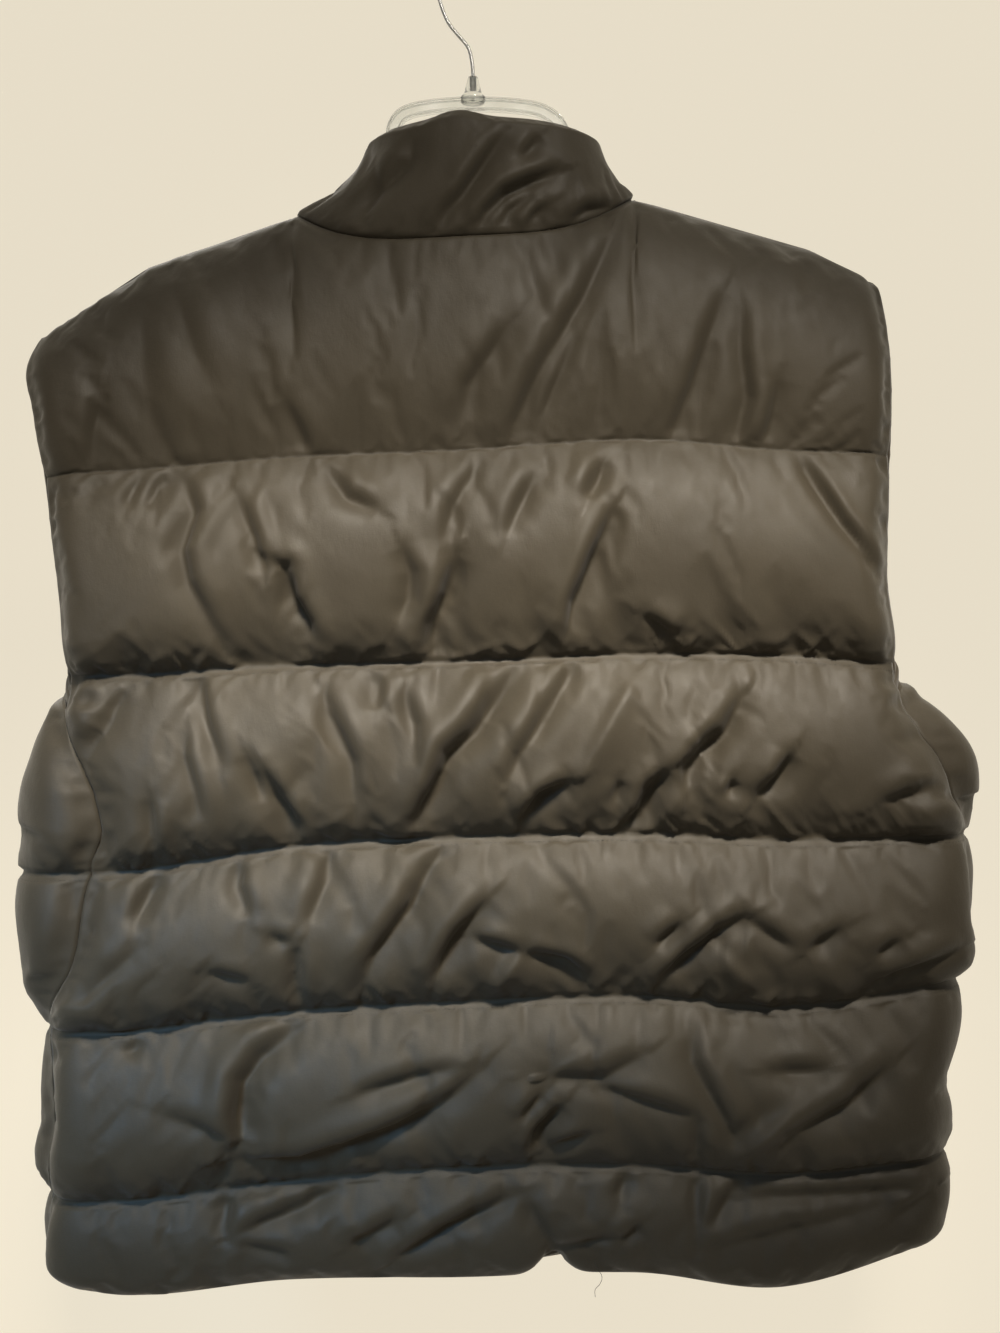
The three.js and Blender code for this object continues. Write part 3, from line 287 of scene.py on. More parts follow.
def neck_point(angle):
    """The neck's opening, where the collar is sewn on. Angle 0 is the back's middle."""
    side, facing = np.sin(angle), np.cos(angle)
    front = facing <= 0
    y = np.where(front, NECK_FRONT[0], NECK_BACK[0])
    dip = np.where(front, NECK_FRONT[1], NECK_BACK[1])
    power = np.where(front, NECK_FRONT[2], NECK_BACK[2])
    x = NECK_HALF * side
    z = shoulder_height(x) - dip * (1 - np.abs(side) ** power)
    return np.stack([x, y * np.abs(facing), z], axis=-1)


def neck_outward(angle):
    """The way that the wall grows thick at the neck."""
    up = NECK_LEAN * np.abs(np.sin(angle)) ** 3
    return unit(np.stack([np.sin(angle), -np.cos(angle), up], axis=-1))


def loop_sizes(level):
    """A level's middle, and from there the lengths of the flat stretch, the round one and both."""
    left, right = ring_smooth("left", level), ring_smooth("right", level)
    flat = (right - left) / 2 - CAP_WIDTH
    depth = (ring_smooth("back", level) + FRONT_DEPTH) / 2
    cap = math.pi / 2 * np.sqrt((CAP_WIDTH ** 2 + depth ** 2) / 2)
    return (left + right) / 2, flat, cap, flat + cap


def loop_place(level, turn):
    """x, y and whether it is on the back. Turn 0 is the back's middle, 1 the right side."""
    middle, flat, cap, length = loop_sizes(level)
    wrapped = np.where(turn > 2, turn - 4, np.where(turn < -2, turn + 4, turn))
    on_back = np.abs(wrapped) <= 1
    share = np.where(on_back, np.abs(wrapped), 2 - np.abs(wrapped))
    reach = share * length
    angle = np.maximum(reach - flat, 0) / cap * math.pi / 2
    away = np.where(reach > flat, flat + CAP_WIDTH * np.sin(angle), reach)
    depth = np.where(on_back, -ring_smooth("back", level), FRONT_DEPTH)
    return middle + np.sign(wrapped) * away, depth * np.cos(angle) * (1 - BOW * share ** 2), on_back


def turn_at_zip(level, x):
    """The turn of a place on the front, counted on from the right side."""
    middle, _, _, length = loop_sizes(level)
    share = np.abs(x - middle) / length
    turn = np.sign(x - middle) * (2 - share)
    return np.where(turn < 0, turn + 4, turn)


def inside(level, turn):
    """The garment's inner face at a level and a turn."""
    x, y, on_back = loop_place(level, turn)
    heights = line_heights(x)
    below = np.clip(np.floor(level).astype(int), 0, TOP - 2)
    low = np.take_along_axis(heights, below[None], 0)[0]
    high = np.take_along_axis(heights, below[None] + 1, 0)[0]
    body = np.stack([x, y, low + (high - low) * (level - below)], axis=-1)
    t = np.clip(level - (TOP - 1), 0, 1)
    over = np.sqrt(np.maximum(1 - t ** 3, 0))
    side = np.arcsin(np.clip(x / NECK_HALF, -1, 1))
    rim = neck_point(np.where(on_back, side, math.pi - side))
    apart = np.where(on_back, -1, 1) * SEAM_GAP / 2
    in_neck = np.abs(x) < NECK_HALF
    top_y = np.where(in_neck, rim[..., 1] + apart, apart)
    top_z = np.where(in_neck, rim[..., 2], shoulder_height(x))
    yoke_z = heights[TOP - 1] + (top_z - heights[TOP - 1]) * t
    yoke = np.stack([x, y * over + top_y * (1 - over), yoke_z], axis=-1)
    return np.where((level <= TOP - 1)[..., None], body, yoke)


def outward(level, turn):
    """The way that the wall grows thick, which leans to the collar's foot near the neck."""
    along = inside(level, turn + SMALL) - inside(level, turn - SMALL)
    rise = inside(np.minimum(level + SMALL, TOP), turn) - inside(np.maximum(level - SMALL, 0), turn)
    normal = unit(np.cross(along, rise))
    x, y, _ = loop_place(level, turn)
    past = np.maximum(np.abs(x) - NECK_HALF, 0)
    near = np.maximum(0, 1 - past / LEAN_REACH) * smooth_step(level, TOP - 0.25, TOP)
    side = np.arcsin(np.clip(x / NECK_HALF, -1, 1))
    lean = neck_outward(np.where(y <= 0, side, math.pi - side))
    return unit(normal + (lean - normal) * near[..., None])


# Uneven cloth: every ripple comes from these three

KNOTS = 64                     # random heights each way before the pattern comes round again


def ripple(u, v, seed):
    """Soft lumps of about one unit, between -1 and 1."""
    knots = np.random.default_rng(seed).uniform(-1, 1, (KNOTS, KNOTS))
    iu, iv = np.floor(u).astype(int), np.floor(v).astype(int)
    fu, fv = u - iu, v - iv
    su, sv = fu * fu * (3 - 2 * fu), fv * fv * (3 - 2 * fv)

    def knot(a, b):
        return knots[(iu + a) % KNOTS, (iv + b) % KNOTS]

    low = knot(0, 0) * (1 - su) + knot(1, 0) * su
    high = knot(0, 1) * (1 - su) + knot(1, 1) * su
    return low * (1 - sv) + high * sv


def billow(u, v, seed):
    """Round lumps from 0 to 1 with sharp valleys between them."""
    return np.abs(ripple(u, v, seed)) ** 0.7


def pleat(u, v, seed):
    """Sharp ridges of height 1 with round hollows between them."""
    return 1 - np.abs(ripple(u, v, seed)) ** 0.6


# Creases

UPRIGHT = 0.12                 # an upright crease leans less than this
STEEP_FLANK = 0.55             # its reach, as a share of the crease's width
SOFT_FLANK = 1.3
NARROWEST = 3.8                # the least reach of a steep flank
RIDGE_PLACE = 1.5              # beside the trough, as a share of the crease's width
RIDGE_WIDTH = 1.1
RIDGE_HEIGHT = 0.36            # as a share of the trough's depth
CREASE_GAIN = 1.6              # how much deeper the creases are laid than their rows say


def creases(folds, u, v):
    """How deep the creases lie. Each is a trough under a low ridge with a steep flank, and has
    a long soft flank on its lower side. An upright one has its ridge on the right."""
    total = np.zeros_like(u)
    for path, depth, width in folds:
        path = np.array(path, float)
        best = np.full_like(u, 1e9)
        signed = np.zeros_like(u)
        along = np.zeros_like(u)
        lengths = np.hypot(*(path[1:] - path[:-1]).T)
        start = np.concatenate([[0], np.cumsum(lengths)])
        run = path[-1] - path[0]
        upright = abs(run[0]) < UPRIGHT * abs(run[1])
        side = -np.sign(run[1]) if upright else np.sign(run[0])
        for i, length in enumerate(lengths):
            (ax, az), (bx, bz) = path[i], path[i + 1]
            dx, dz = (bx - ax) / length, (bz - az) / length
            t = np.clip((u - ax) * dx + (v - az) * dz, 0, length)
            off = np.hypot(u - ax - dx * t, v - az - dz * t)
            nearer = off < best
            best = np.where(nearer, off, best)
            past = side * (-(u - ax) * dz + (v - az) * dx)
            signed = np.where(nearer, np.sign(past) * off, signed)
            along = np.where(nearer, (start[i] + t) / start[-1], along)
        taper = np.sin(math.pi * (0.94 * along + 0.03)) ** 0.6
        reach = np.where(signed > 0, max(STEEP_FLANK * width, NARROWEST), SOFT_FLANK * width)
        trough = np.exp(-np.abs(best / reach) ** 1.6)
        ridge = np.exp(-((signed - RIDGE_PLACE * width) / (RIDGE_WIDTH * width)) ** 2)
        total += CREASE_GAIN * depth * taper * (trough - RIDGE_HEIGHT * ridge * (signed > 0))
    return total


# The filled channels

PUFF_PEAK = 0.25               # how far up its channel the filling stands out most
LUMP, SMALL_LUMP = 70, 19      # sizes of the places where the filling is uneven
EDGE_REACH = 14                # how far from a panel's edge the filling is held down
PUCKER_REACH = 16              # how far from a quilting line the cloth is puckered
NO_LINE = 999                  # a distance that stands for no line at all
LEFT_PLEAT, RIGHT_PLEAT, FINE_PLEAT = 17, 13, 7
LIP = 4.5                      # the sewn lip under each of the four lower quilting lines
ROW_PITCH = 4.6                # between the cloth's rows, before they are doubled
CLOSE_ROWS = (2.2, 4.8, 8, 11.8)  # heights of the first rows above a quilting line
CHANNEL_SPANS = (78, 112, 110, 120, 145, 165)  # rough heights of the channels, from the hem up


def puff_shape(t):
    """The filling hangs low in its channel: it rounds up from the lower line and falls
    slowly to the upper one."""
    low = np.sin(math.pi / 2 * np.clip(t / PUFF_PEAK, 0, 1) ** 0.8)
    high = np.cos(math.pi / 2 * np.clip((t - PUFF_PEAK) / (1 - PUFF_PEAK), 0, 1) ** 1.25) ** 0.8
    return np.where(t < PUFF_PEAK, low, high)


def channel_of(level):
    """The channel that a level is in, from 0 at the hem to 5 in the yoke."""
    return np.clip(np.floor(level).astype(int), 0, TOP - 1)


def to_lines(level, place):
    """Distances down to the quilting line below a point and up to the one above."""
    heights = line_heights(place[..., 0])
    channel = channel_of(level)
    lower = np.take_along_axis(heights, channel[None], 0)[0]
    upper = np.take_along_axis(heights, np.minimum(channel + 1, TOP - 1)[None], 0)[0]
    below = np.where(channel == 0, NO_LINE, place[..., 2] - lower)
    above = np.where(channel == TOP - 1, NO_LINE, upper - place[..., 2])
    return below, above


def plump(level, turn, from_edge, seed):
    """The wall's thickness before it is blown up and creased."""
    channel = channel_of(level)
    t = level - channel
    yoke = channel == TOP - 1
    place = inside(level, turn)
    x, z = place[..., 0], place[..., 2]
    size = np.asarray(PUFF, float)[channel]
    size = size * (1 + 0.12 * ripple(x / LUMP, channel * 7.3, seed))
    uneven = ripple((x + 0.45 * z) / SMALL_LUMP, channel * 2.3, seed + 7)
    sag = t * (1 + 0.5 * uneven * np.clip(1 - t / 0.6, 0, 1))
    swell = size * np.where(yoke, np.sin(math.pi * t ** 0.75), puff_shape(sag))
    edge = np.exp(-(from_edge / EDGE_REACH) ** 2)
    base = np.where(yoke, SEAM_WALL + (RIDGE_WALL - SEAM_WALL) * t ** 4, SEAM_WALL)
    below, above = to_lines(level, place)
    pucker = ripple(x / 9, channel * 3.1 + below / 60, seed + 1)
    near_line = np.exp(-below / PUCKER_REACH) + np.exp(-above / PUCKER_REACH)
    gather = 1.2 * pucker * near_line * np.minimum(1, swell / 6)
    return base + swell * (1 - 0.7 * edge) + gather * (1 - edge)


def gathers(level, x, z, below, above, seed):
    """Pleats and hollows where the cloth is drawn into a quilting line: deep and crossing
    above it, short below it, and hardly any under the yoke."""
    channel = channel_of(level)
    drawn = 0.75 + 0.75 * ripple(x / 48, channel * 4.7, seed + 4)
    drawn = np.where(channel == TOP - 1, 0.35 * drawn, drawn)
    right, left = x + 0.8 * z, x - 0.7 * z
    row = z / 40 + channel
    low = np.maximum(pleat(right / RIGHT_PLEAT, row, seed), pleat(left / LEFT_PLEAT, row, seed + 1))
    low = 4.6 * low + 1.2 * billow(right / FINE_PLEAT, z / 16, seed + 5) - 3.4
    high = 2.4 * billow((x + 0.4 * z) / 14, z / 60 + channel, seed + 2) - 1.2
    fade_low = np.exp(-(below / 19) ** 2) * np.clip(below / 3, 0, 1)
    fade_high = np.exp(-above / 14) * np.clip((above - 3) / 5, 0, 1)
    return drawn * (low * fade_low + 0.6 * high * fade_high)


def level_rows():
    """Levels of the cloth's rows and which of them are sewn down."""
    levels, sewn = [], []
    for channel, span in enumerate(CHANNEL_SPANS):
        marks = [(0, True)] + [(row, False) for row in CLOSE_ROWS]
        start = CLOSE_ROWS[-1]
        end = span - (LIP + 8 if channel < TOP - 2 else 5)
        count = round((end - start) / ROW_PITCH)
        marks += [(start + (end - start) * (k + 1) / count, False) for k in range(count)]
        if channel < TOP - 2:
            marks += [(span - LIP - 4.4, False), (span - LIP - 1.6, False), (span - LIP, True)]
        if channel == TOP - 2:
            marks += [(span - 2, False)]
        levels += [channel + at / span for at, _ in marks]
        sewn += [held for _, held in marks]
    return np.array(levels + [TOP]), np.array(sewn + [True])


def side_turn(side, level, way):
    """The turn of a panel's edge at a side seam or an armhole, toward the back or the front."""
    name = "left" if side < 0 else "right"
    opening = ring_straight("open_" + name, level) + SEAM_GAP / 2
    off = ring_straight("seam_" + name, level) + way * opening
    return side * (1 - off / loop_sizes(level)[3])


def panel_ends(panel, level):
    """The turns of a panel's two upright edges."""
    if panel == "back":
        return side_turn(-1, level, 1), side_turn(1, level, 1)
    if panel == "front_left":
        return turn_at_zip(level, ZIP_X - ZIP_HALF) - 4, side_turn(-1, level, -1)
    return side_turn(1, level, -1), turn_at_zip(level, ZIP_X + ZIP_HALF)


def finer(values, smooth=True):
    """Twice as many rows and columns, along smooth lines through the first ones."""
    for axis in (0, 1):
        values = np.moveaxis(values, axis, 0)
        count = len(values)
        out = np.zeros((2 * count - 1,) + values.shape[1:])
        out[::2] = values
        if smooth and count > 3:
            before = np.concatenate([values[:1] * 2 - values[1:2], values[:-2]])
            after = np.concatenate([values[2:], values[-1:] * 2 - values[-2:-1]])
            out[1::2] = (9 * (values[:-1] + values[1:]) - before - after) / 16
        else:
            out[1::2] = (values[:-1] + values[1:]) / 2
        values = np.moveaxis(out, 0, axis)
    return values


def grid_normals(points, softer=0):
    """The outward ways of a sheet of points, evened out as often as softer says."""
    along = np.gradient(points, axis=1)
    rise = np.gradient(points, axis=0)
    normals = unit(np.cross(along, rise))
    for _ in range(softer):
        normals = np.pad(normals, ((1, 1), (1, 1), (0, 0)), "edge")
        normals = normals[:-2] + 2 * normals[1:-1] + normals[2:]
        normals = unit(normals[:, :-2] + 2 * normals[:, 1:-1] + normals[:, 2:])
    return normals


# Blender meshes

def new_object(name, points, faces):
    """A smooth-shaded mesh object from points in millimetres."""
    mesh = bpy.data.meshes.new(name)
    mesh.from_pydata((np.asarray(points).reshape(-1, 3) * MM).tolist(), [], faces)
    mesh.validate()
    mesh.polygons.foreach_set("use_smooth", [True] * len(mesh.polygons))
    made = bpy.data.objects.new(name, mesh)
    bpy.context.scene.collection.objects.link(made)
    return made


def grid_faces(rows, columns, first=0, flip=False):
    index = np.arange(rows * columns).reshape(rows, columns) + first
    a, b, c, d = index[:-1, :-1], index[:-1, 1:], index[1:, 1:], index[1:, :-1]
    order = (a, d, c, b) if flip else (a, b, c, d)
    return np.stack([corner.ravel() for corner in order], axis=1).tolist()


def tube_faces(rings, sides, closed=False, flip=False):
    """Joins rings of points, each to the next, and the last to the first if it is closed."""
    faces = []
    for ring in range(rings if closed else rings - 1):
        here, after = ring * sides, (ring + 1) % rings * sides
        for j in range(sides):
            k = (j + 1) % sides
            face = [here + j, here + k, after + k, after + j]
            faces.append(face[::-1] if flip else face)
    return faces


def capped_tube(name, points):
    """A tube through rings of points, closed at both ends."""
    rings, sides = points.shape[:2]
    first, last = list(range(sides)), list(range((rings - 1) * sides, rings * sides))
    return new_object(name, points, [first[::-1], last] + tube_faces(rings, sides))


def round_corners(made, width, angle=30):
    """Rounds the corners that are sharper than an angle, by a bevel."""
    bevel = made.modifiers.new("bevel", "BEVEL")
    bevel.width = width * MM
    bevel.segments = 2
    bevel.limit_method = "ANGLE"
    bevel.angle_limit = math.radians(angle)
    bevel.harden_normals = True


def border(rows, columns, first=0):
    """The border's points in four runs, each way round the same."""
    index = np.arange(rows * columns).reshape(rows, columns) + first
    return index[0, :], index[:, -1], index[-1, ::-1], index[::-1, 0]


def rim_faces(fine, plain, kept):
    """Joins the fine border of the outer cloth to the coarse border of the inner one."""
    fine, plain = fine.tolist(), plain.tolist()
    faces = []
    for k in range(len(plain) - 1):
        faces.append(fine[kept[k]:kept[k + 1] + 1][::-1] + [plain[k], plain[k + 1]])
    return faces


def wall_object(name, outer, inner, step):
    """A closed wall: the fine outer cloth, and an inner cloth step times as coarse."""
    rows, columns = outer.shape[:2]
    kept_rows = sorted({*range(0, rows, step), rows - 1})
    kept_columns = sorted({*range(0, columns, step), columns - 1})
    coarse = inner[kept_rows][:, kept_columns]
    first = rows * columns
    faces = grid_faces(rows, columns)
    faces += grid_faces(len(kept_rows), len(kept_columns), first=first, flip=True)
    back_rows = [rows - 1 - k for k in kept_rows][::-1]
    back_columns = [columns - 1 - k for k in kept_columns][::-1]
    runs = zip(border(rows, columns), border(len(kept_rows), len(kept_columns), first),
               (kept_columns, kept_rows, back_columns, back_rows))
    for fine, plain, kept in runs:
        faces += rim_faces(fine, plain, kept)
    points = np.concatenate([outer.reshape(-1, 3), coarse.reshape(-1, 3)])
    return new_object(name, points, faces)


CLOTH_FRAMES = 21
LIGHT_TAFFETA = {
    "quality": 5, "mass": 0.3, "air_damping": 2,
    "tension_stiffness": 20, "compression_stiffness": 20, "shear_stiffness": 5,
    "bending_stiffness": 0.8, "tension_damping": 8, "compression_damping": 8,
    "bending_damping": 0.5,
}


def blow_up(name, points, sewn, pressure, growth, most):
    """Puffs sewn cloth out as air would, and gives its new points. No point moves further
    than most millimetres."""
    rows, columns = points.shape[:2]
    cloth = new_object(name + "_cloth", points, grid_faces(rows, columns))
    held = cloth.vertex_groups.new(name="sewn")
    held.add(np.flatnonzero(sewn.ravel()).tolist(), 1.0, "REPLACE")
    modifier = cloth.modifiers.new("cloth", "CLOTH")
    settings = modifier.settings
    for key, value in LIGHT_TAFFETA.items():
        setattr(settings, key, value)
    settings.vertex_group_mass = "sewn"
    settings.use_pressure = True
    settings.uniform_pressure_force = pressure
    settings.shrink_min = -growth
    settings.effector_weights.gravity = 0
    modifier.collision_settings.use_collision = False
    scene = bpy.context.scene
    for number in range(1, CLOTH_FRAMES + 1):
        scene.frame_set(number)
    shown = cloth.evaluated_get(bpy.context.evaluated_depsgraph_get())
    moved = np.zeros(rows * columns * 3, np.float32)
    shown.data.vertices.foreach_get("co", moved)
    moved = moved.reshape(rows, columns, 3).astype(float) / MM
    bpy.data.objects.remove(cloth)
    scene.frame_set(1)
    shift = moved - points
    length = np.linalg.norm(shift, axis=-1, keepdims=True)
    return points + shift * np.minimum(1, most * np.tanh(length / most) / np.maximum(length, 1e-6))


def slanted(x, z, right, up, fine, long, seed):
    """Ripples that lie across the way (right, up), fine that way and long across it."""
    return ripple((x * right + z * up) / fine, (z * right - x * up) / long, seed)


def make_panel(panel, folds, columns, seed):
    """One padded panel: filled, blown up, doubled in rows and columns, and then creased."""
    levels, sewn_rows = level_rows()
    across = np.linspace(0, 1, columns)
    level = np.repeat(levels[:, None], columns, axis=1)
    first, last = panel_ends(panel, level)
    turn = first + (last - first) * across
    from_edge = np.minimum(turn - first, last - turn) * loop_sizes(level)[3]
    thickness = plump(level, turn, from_edge, seed)
    normals = outward(level, turn)
    base = inside(level, turn)
    points = base + normals * thickness[..., None]
    shoulder = (level == TOP) & (np.abs(loop_place(level, turn)[0]) > NECK_HALF - 0.5)
    points[..., 1] = np.where(shoulder, (-1 if panel == "back" else 1) * SEAM_GAP / 2, points[..., 1])
    x, z = points[..., 0], points[..., 2]
    sway = slanted(x, z, 0.88, 0.48, 13, 60, seed + 5)
    sway += 0.4 * slanted(x, z, 0.7, 0.7, 7, 30, seed + 6)
    sewn = np.repeat(sewn_rows[:, None], columns, axis=1)
    sewn[:, [0, -1]] = True
    points += normals * np.where(sewn, 0, 0.4 * sway)[..., None]
    points = blow_up(panel, points, sewn, pressure=5, growth=0.009, most=10)
    points, base = finer(points), finer(base)
    level, from_edge = finer(level, smooth=False), finer(from_edge, smooth=False)
    out = grid_normals(points, softer=6)
    free = 1 - np.exp(-(from_edge / 10) ** 2)
    below, above = to_lines(level, points)
    toward_line = smooth_step(np.minimum(below + 3, above), 1, 12)
    x, z = points[..., 0], points[..., 2]
    depth = creases(folds, x, z) * toward_line - gathers(level, x, z, below, above, seed + 8)
    tucks = 2.2 * billow(z / 11, x / 40, seed + 12) * np.exp(-((from_edge - 8) / 6) ** 2)
    points -= out * (depth * free + tucks)[..., None]
    return wall_object("vest_" + panel, points, base, step=6), points, level


# The collar

COLLAR_MIDDLE, COLLAR_HALF, COLLAR_DEPTH = 14, 72, 46
COLLAR_TOP = {"back": -139, "side": -147, "front": -172, "square": 0.8}
COLLAR_PEAK = (-3, 16, 5)      # its middle, its width and how far it rises
COLLAR_HOLLOW = 2.3            # how soon it leans inward at its sides
COLLAR_LIP = 1.6               # the wall at its upper edge
NECK_GAP = 0.45                # between the collar's foot and the panels

# Rows of the collar from 0 at its foot to 1 at its upper edge, closer together near both
COLLAR_ROWS = (0, 0.03, 0.07, 0.12, 0.18, 0.24, 0.3, 0.36, 0.42, 0.48, 0.54, 0.6, 0.66,
               0.72, 0.78, 0.83, 0.875, 0.91, 0.94, 0.965, 0.985, 1)


def zip_angles(middle, half):
    """The angles of the two zip edges on a ring, with 0 at the back's middle."""
    left = -math.pi - math.asin((ZIP_X - ZIP_HALF - middle) / half)
    return left, math.pi - math.asin((ZIP_X + ZIP_HALF - middle) / half)


def collar_top(angle):
    """The collar's upper edge, above a place on the neck."""
    foot_left, foot_right = zip_angles(0, NECK_HALF)
    top_left, top_right = zip_angles(COLLAR_MIDDLE, COLLAR_HALF)
    top_angle = angle * np.where(angle < 0, top_left / foot_left, top_right / foot_right)
    facing = np.cos(top_angle)
    square = COLLAR_TOP["square"]
    rim = np.where(facing > 0, COLLAR_TOP["back"], COLLAR_TOP["front"])
    x = COLLAR_MIDDLE + COLLAR_HALF * np.sin(top_angle)
    middle, width, rise = COLLAR_PEAK
    peak = np.where(facing > 0, rise * np.exp(-((x - middle) / width) ** 2), 0)
    z = COLLAR_TOP["side"] + (rim - COLLAR_TOP["side"]) * np.abs(facing) ** square + peak
    return np.stack([x, -COLLAR_DEPTH * np.sign(facing) * np.abs(facing) ** square, z], axis=-1)


def collar_inside(angle, rise):
    """The collar's inner face, from 0 at its foot to 1 at its upper edge."""
    foot = neck_point(angle)
    tangent = unit(neck_point(angle + 0.01) - neck_point(angle - 0.01))
    foot = foot + unit(np.cross(neck_outward(angle), tangent)) * NECK_GAP
    top = collar_top(angle)
    inward = 1 - (1 - rise) ** (1 + (COLLAR_HOLLOW - 1) * np.abs(np.sin(angle)))
    place = foot + (top - foot) * inward[..., None]
    place[..., 2] = foot[..., 2] + (top[..., 2] - foot[..., 2]) * rise
    return place


def collar_outward(angle, rise):
    """The way that the collar grows thick, which is nearly level above its foot."""
    flat = unit(np.stack([np.sin(angle), -np.cos(angle), np.full_like(angle, 0.1)], axis=-1))
    lean = neck_outward(angle)
    return unit(lean + (flat - lean) * np.minimum(1, rise * 3)[..., None])


def make_collar(seed):
    """The padded collar, made as the panels are, in one strip from zip to zip."""
    angles = np.linspace(*zip_angles(0, NECK_HALF), 157)
    rise, angle = np.meshgrid(COLLAR_ROWS, angles, indexing="ij")
    from_zip = np.minimum(angle - angles[0], angles[-1] - angle) * NECK_HALF / 2
    edge = np.exp(-(from_zip / EDGE_REACH) ** 2)
    pucker = 0.8 * ripple(angle * 14, rise * 1.5, seed) * np.exp(-rise / 0.25)
    swell = 5.5 * np.sqrt(np.maximum(np.sin(math.pi * np.minimum(rise, 0.999) ** 0.8), 0)) + pucker
    rounded = np.sqrt(np.clip((1 - rise) / 0.09, 0, 1))
    wall = COLLAR_LIP + (RIDGE_WALL - COLLAR_LIP + swell * (1 - 0.6 * edge)) * rounded
    way = collar_outward(angle, rise)
    base = collar_inside(angle, rise)
    points = base + way * wall[..., None]
    sewn = np.zeros(rise.shape, bool)
    sewn[[0, -1]] = True
    sewn[:, [0, -1]] = True
    sway = ripple(angle * 6 + rise * 3, rise * 1.4 - angle * 2, seed + 3)
    points += way * np.where(sewn, 0, 0.6 * sway)[..., None]
    points = blow_up("collar", points, sewn, pressure=3, growth=0.009, most=5)
    points, base = finer(points), finer(base)
    angle, rise = finer(angle, smooth=False), finer(rise, smooth=False)
    out = grid_normals(points, softer=4)
    on_back = smooth_step(np.cos(angle), 0.0, 0.3)
    free = np.sin(math.pi * np.clip(rise, 0, 1)) ** 0.5
    mirrored = 2 * COLLAR_MIDDLE - points[..., 0]
    depth = creases(COLLAR_FOLDS, points[..., 0], points[..., 2]) * on_back * 1.2
    front = creases(COLLAR_FOLDS, mirrored, points[..., 2] - 8) * (1 - on_back) * 0.7
    points -= out * ((depth + front) * free)[..., None]
    return wall_object("vest_collar", points, base, step=4)


# The turned edges of the armholes

EDGE_WIDTH = 7
EDGE_ROWS, EDGE_SIDES = 130, 12


def make_arm_edge(side, seed):
    """A strip up the back of one armhole and down its front, turned in over the cut edges."""
    name = "left" if side < 0 else "right"
    way_up = np.linspace(ARMHOLE_FOOT, TOP, EDGE_ROWS)
    level = np.concatenate([way_up, way_up[-2:0:-1]])
    way = np.concatenate([np.ones(EDGE_ROWS), -np.ones(EDGE_ROWS - 2)])
    heights = line_heights(np.array([side * WIDTHS[-1]]))
    lift = EDGE_WIDTH / (heights[4, 0] - heights[3, 0])
    inner_level = level + lift * (TOP - level) / (TOP - ARMHOLE_FOOT)
    outer_level = np.where(level == ARMHOLE_FOOT, level + 0.006, level)
    risen = np.minimum(1, (level - ARMHOLE_FOOT) / (4.4 - ARMHOLE_FOOT))
    near = np.maximum(ring_straight("open_" + name, level) - (1.1 - 0.8 * risen), 0)
    far = np.where(level == ARMHOLE_FOOT, 0, np.maximum(near - EDGE_WIDTH, near * 0.35))
    run = np.arange(len(level))
    tuck = 0.35 * ripple(run / 2.3, run * 0 + side, seed) + 0.25 * ripple(run / 5.1, run * 0, seed + 1)
    around = np.linspace(0, 2 * math.pi, EDGE_SIDES + 1)[:-1]
    rings = []
    for angle in around:
        u = 0.5 - 0.5 * np.sign(math.cos(angle)) * abs(math.cos(angle)) ** 0.6
        v = 0.5 + 0.5 * np.sign(math.sin(angle)) * abs(math.sin(angle)) ** 0.6
        at = outer_level + (inner_level - outer_level) * u
        off = near + (far - near) * u
        wall = (5.5 * v) * (1 - u) + (0.6 + 3.8 * v) * u + tuck * v
        turn = side * (1 - (ring_straight("seam_" + name, level) + way * off) / loop_sizes(at)[3])
        at = np.minimum(at, TOP)
        point = inside(at, turn) + outward(at, turn) * wall[:, None]
        point[level == TOP, 1] = 0
        rings.append(point)
    points = np.stack(rings, axis=1)
    faces = tube_faces(len(level), EDGE_SIDES, closed=True, flip=side < 0)
    return new_object("armhole_edge_" + name, points, faces)


# Sewing

STITCH, STITCH_GAP, STITCH_RADIUS = 2.4, 0.9, 0.22
LIP_LEVEL = LIP / 115          # the lip's height, as a share of a channel's


def stitch_row(places, normals):
    """Short threads laid end to end along a line of places."""
    steps = np.linalg.norm(np.diff(places, axis=0), axis=1)
    run = np.concatenate([[0], np.cumsum(steps)])
    starts = np.arange(STITCH_GAP, run[-1] - STITCH, STITCH + STITCH_GAP)

    def along(at):
        return np.stack([np.interp(at, run, places[:, k]) for k in range(3)], axis=-1)

    a, b = along(starts), along(starts + STITCH)
    middle = along(starts + STITCH / 2)
    up = unit(np.stack([np.interp(starts, run, normals[:, k]) for k in range(3)], axis=-1))
    high = up * STITCH_RADIUS
    side = unit(np.cross(b - a, up)) * STITCH_RADIUS
    points = np.stack([a - high * 0.6, middle + high, middle + side, middle - side, b - high * 0.6], axis=1)
    corners = ((0, 2, 1), (0, 1, 3), (4, 1, 2), (4, 3, 1))
    faces = [[5 * k + c for c in corner] for k in range(len(starts)) for corner in corners]
    return points.reshape(-1, 3), faces


def joined(name, parts):
    """One object from several lists of points and faces."""
    points, faces, count = [], [], 0
    for some, theirs in parts:
        points.append(some)
        faces += [[n + count for n in face] for face in theirs]
        count += len(some)
    return new_object(name, np.concatenate(points), faces)


def sewing_of(name, points, level):
    """Stitches on the quilting lines and on the lips under them."""
    normals = grid_normals(points)
    rows = level[:, 0]
    parts = []
    for line in range(1, TOP):
        at = int(np.argmin(np.abs(rows - line)))
        parts.append(stitch_row(points[at] + normals[at] * 0.25, normals[at]))
        if line < TOP - 1:
            lip = int(np.argmin(np.abs(rows - (line - LIP_LEVEL))))
            parts.append(stitch_row(points[lip] + normals[lip] * 0.2, normals[lip]))
    return joined(name, parts)


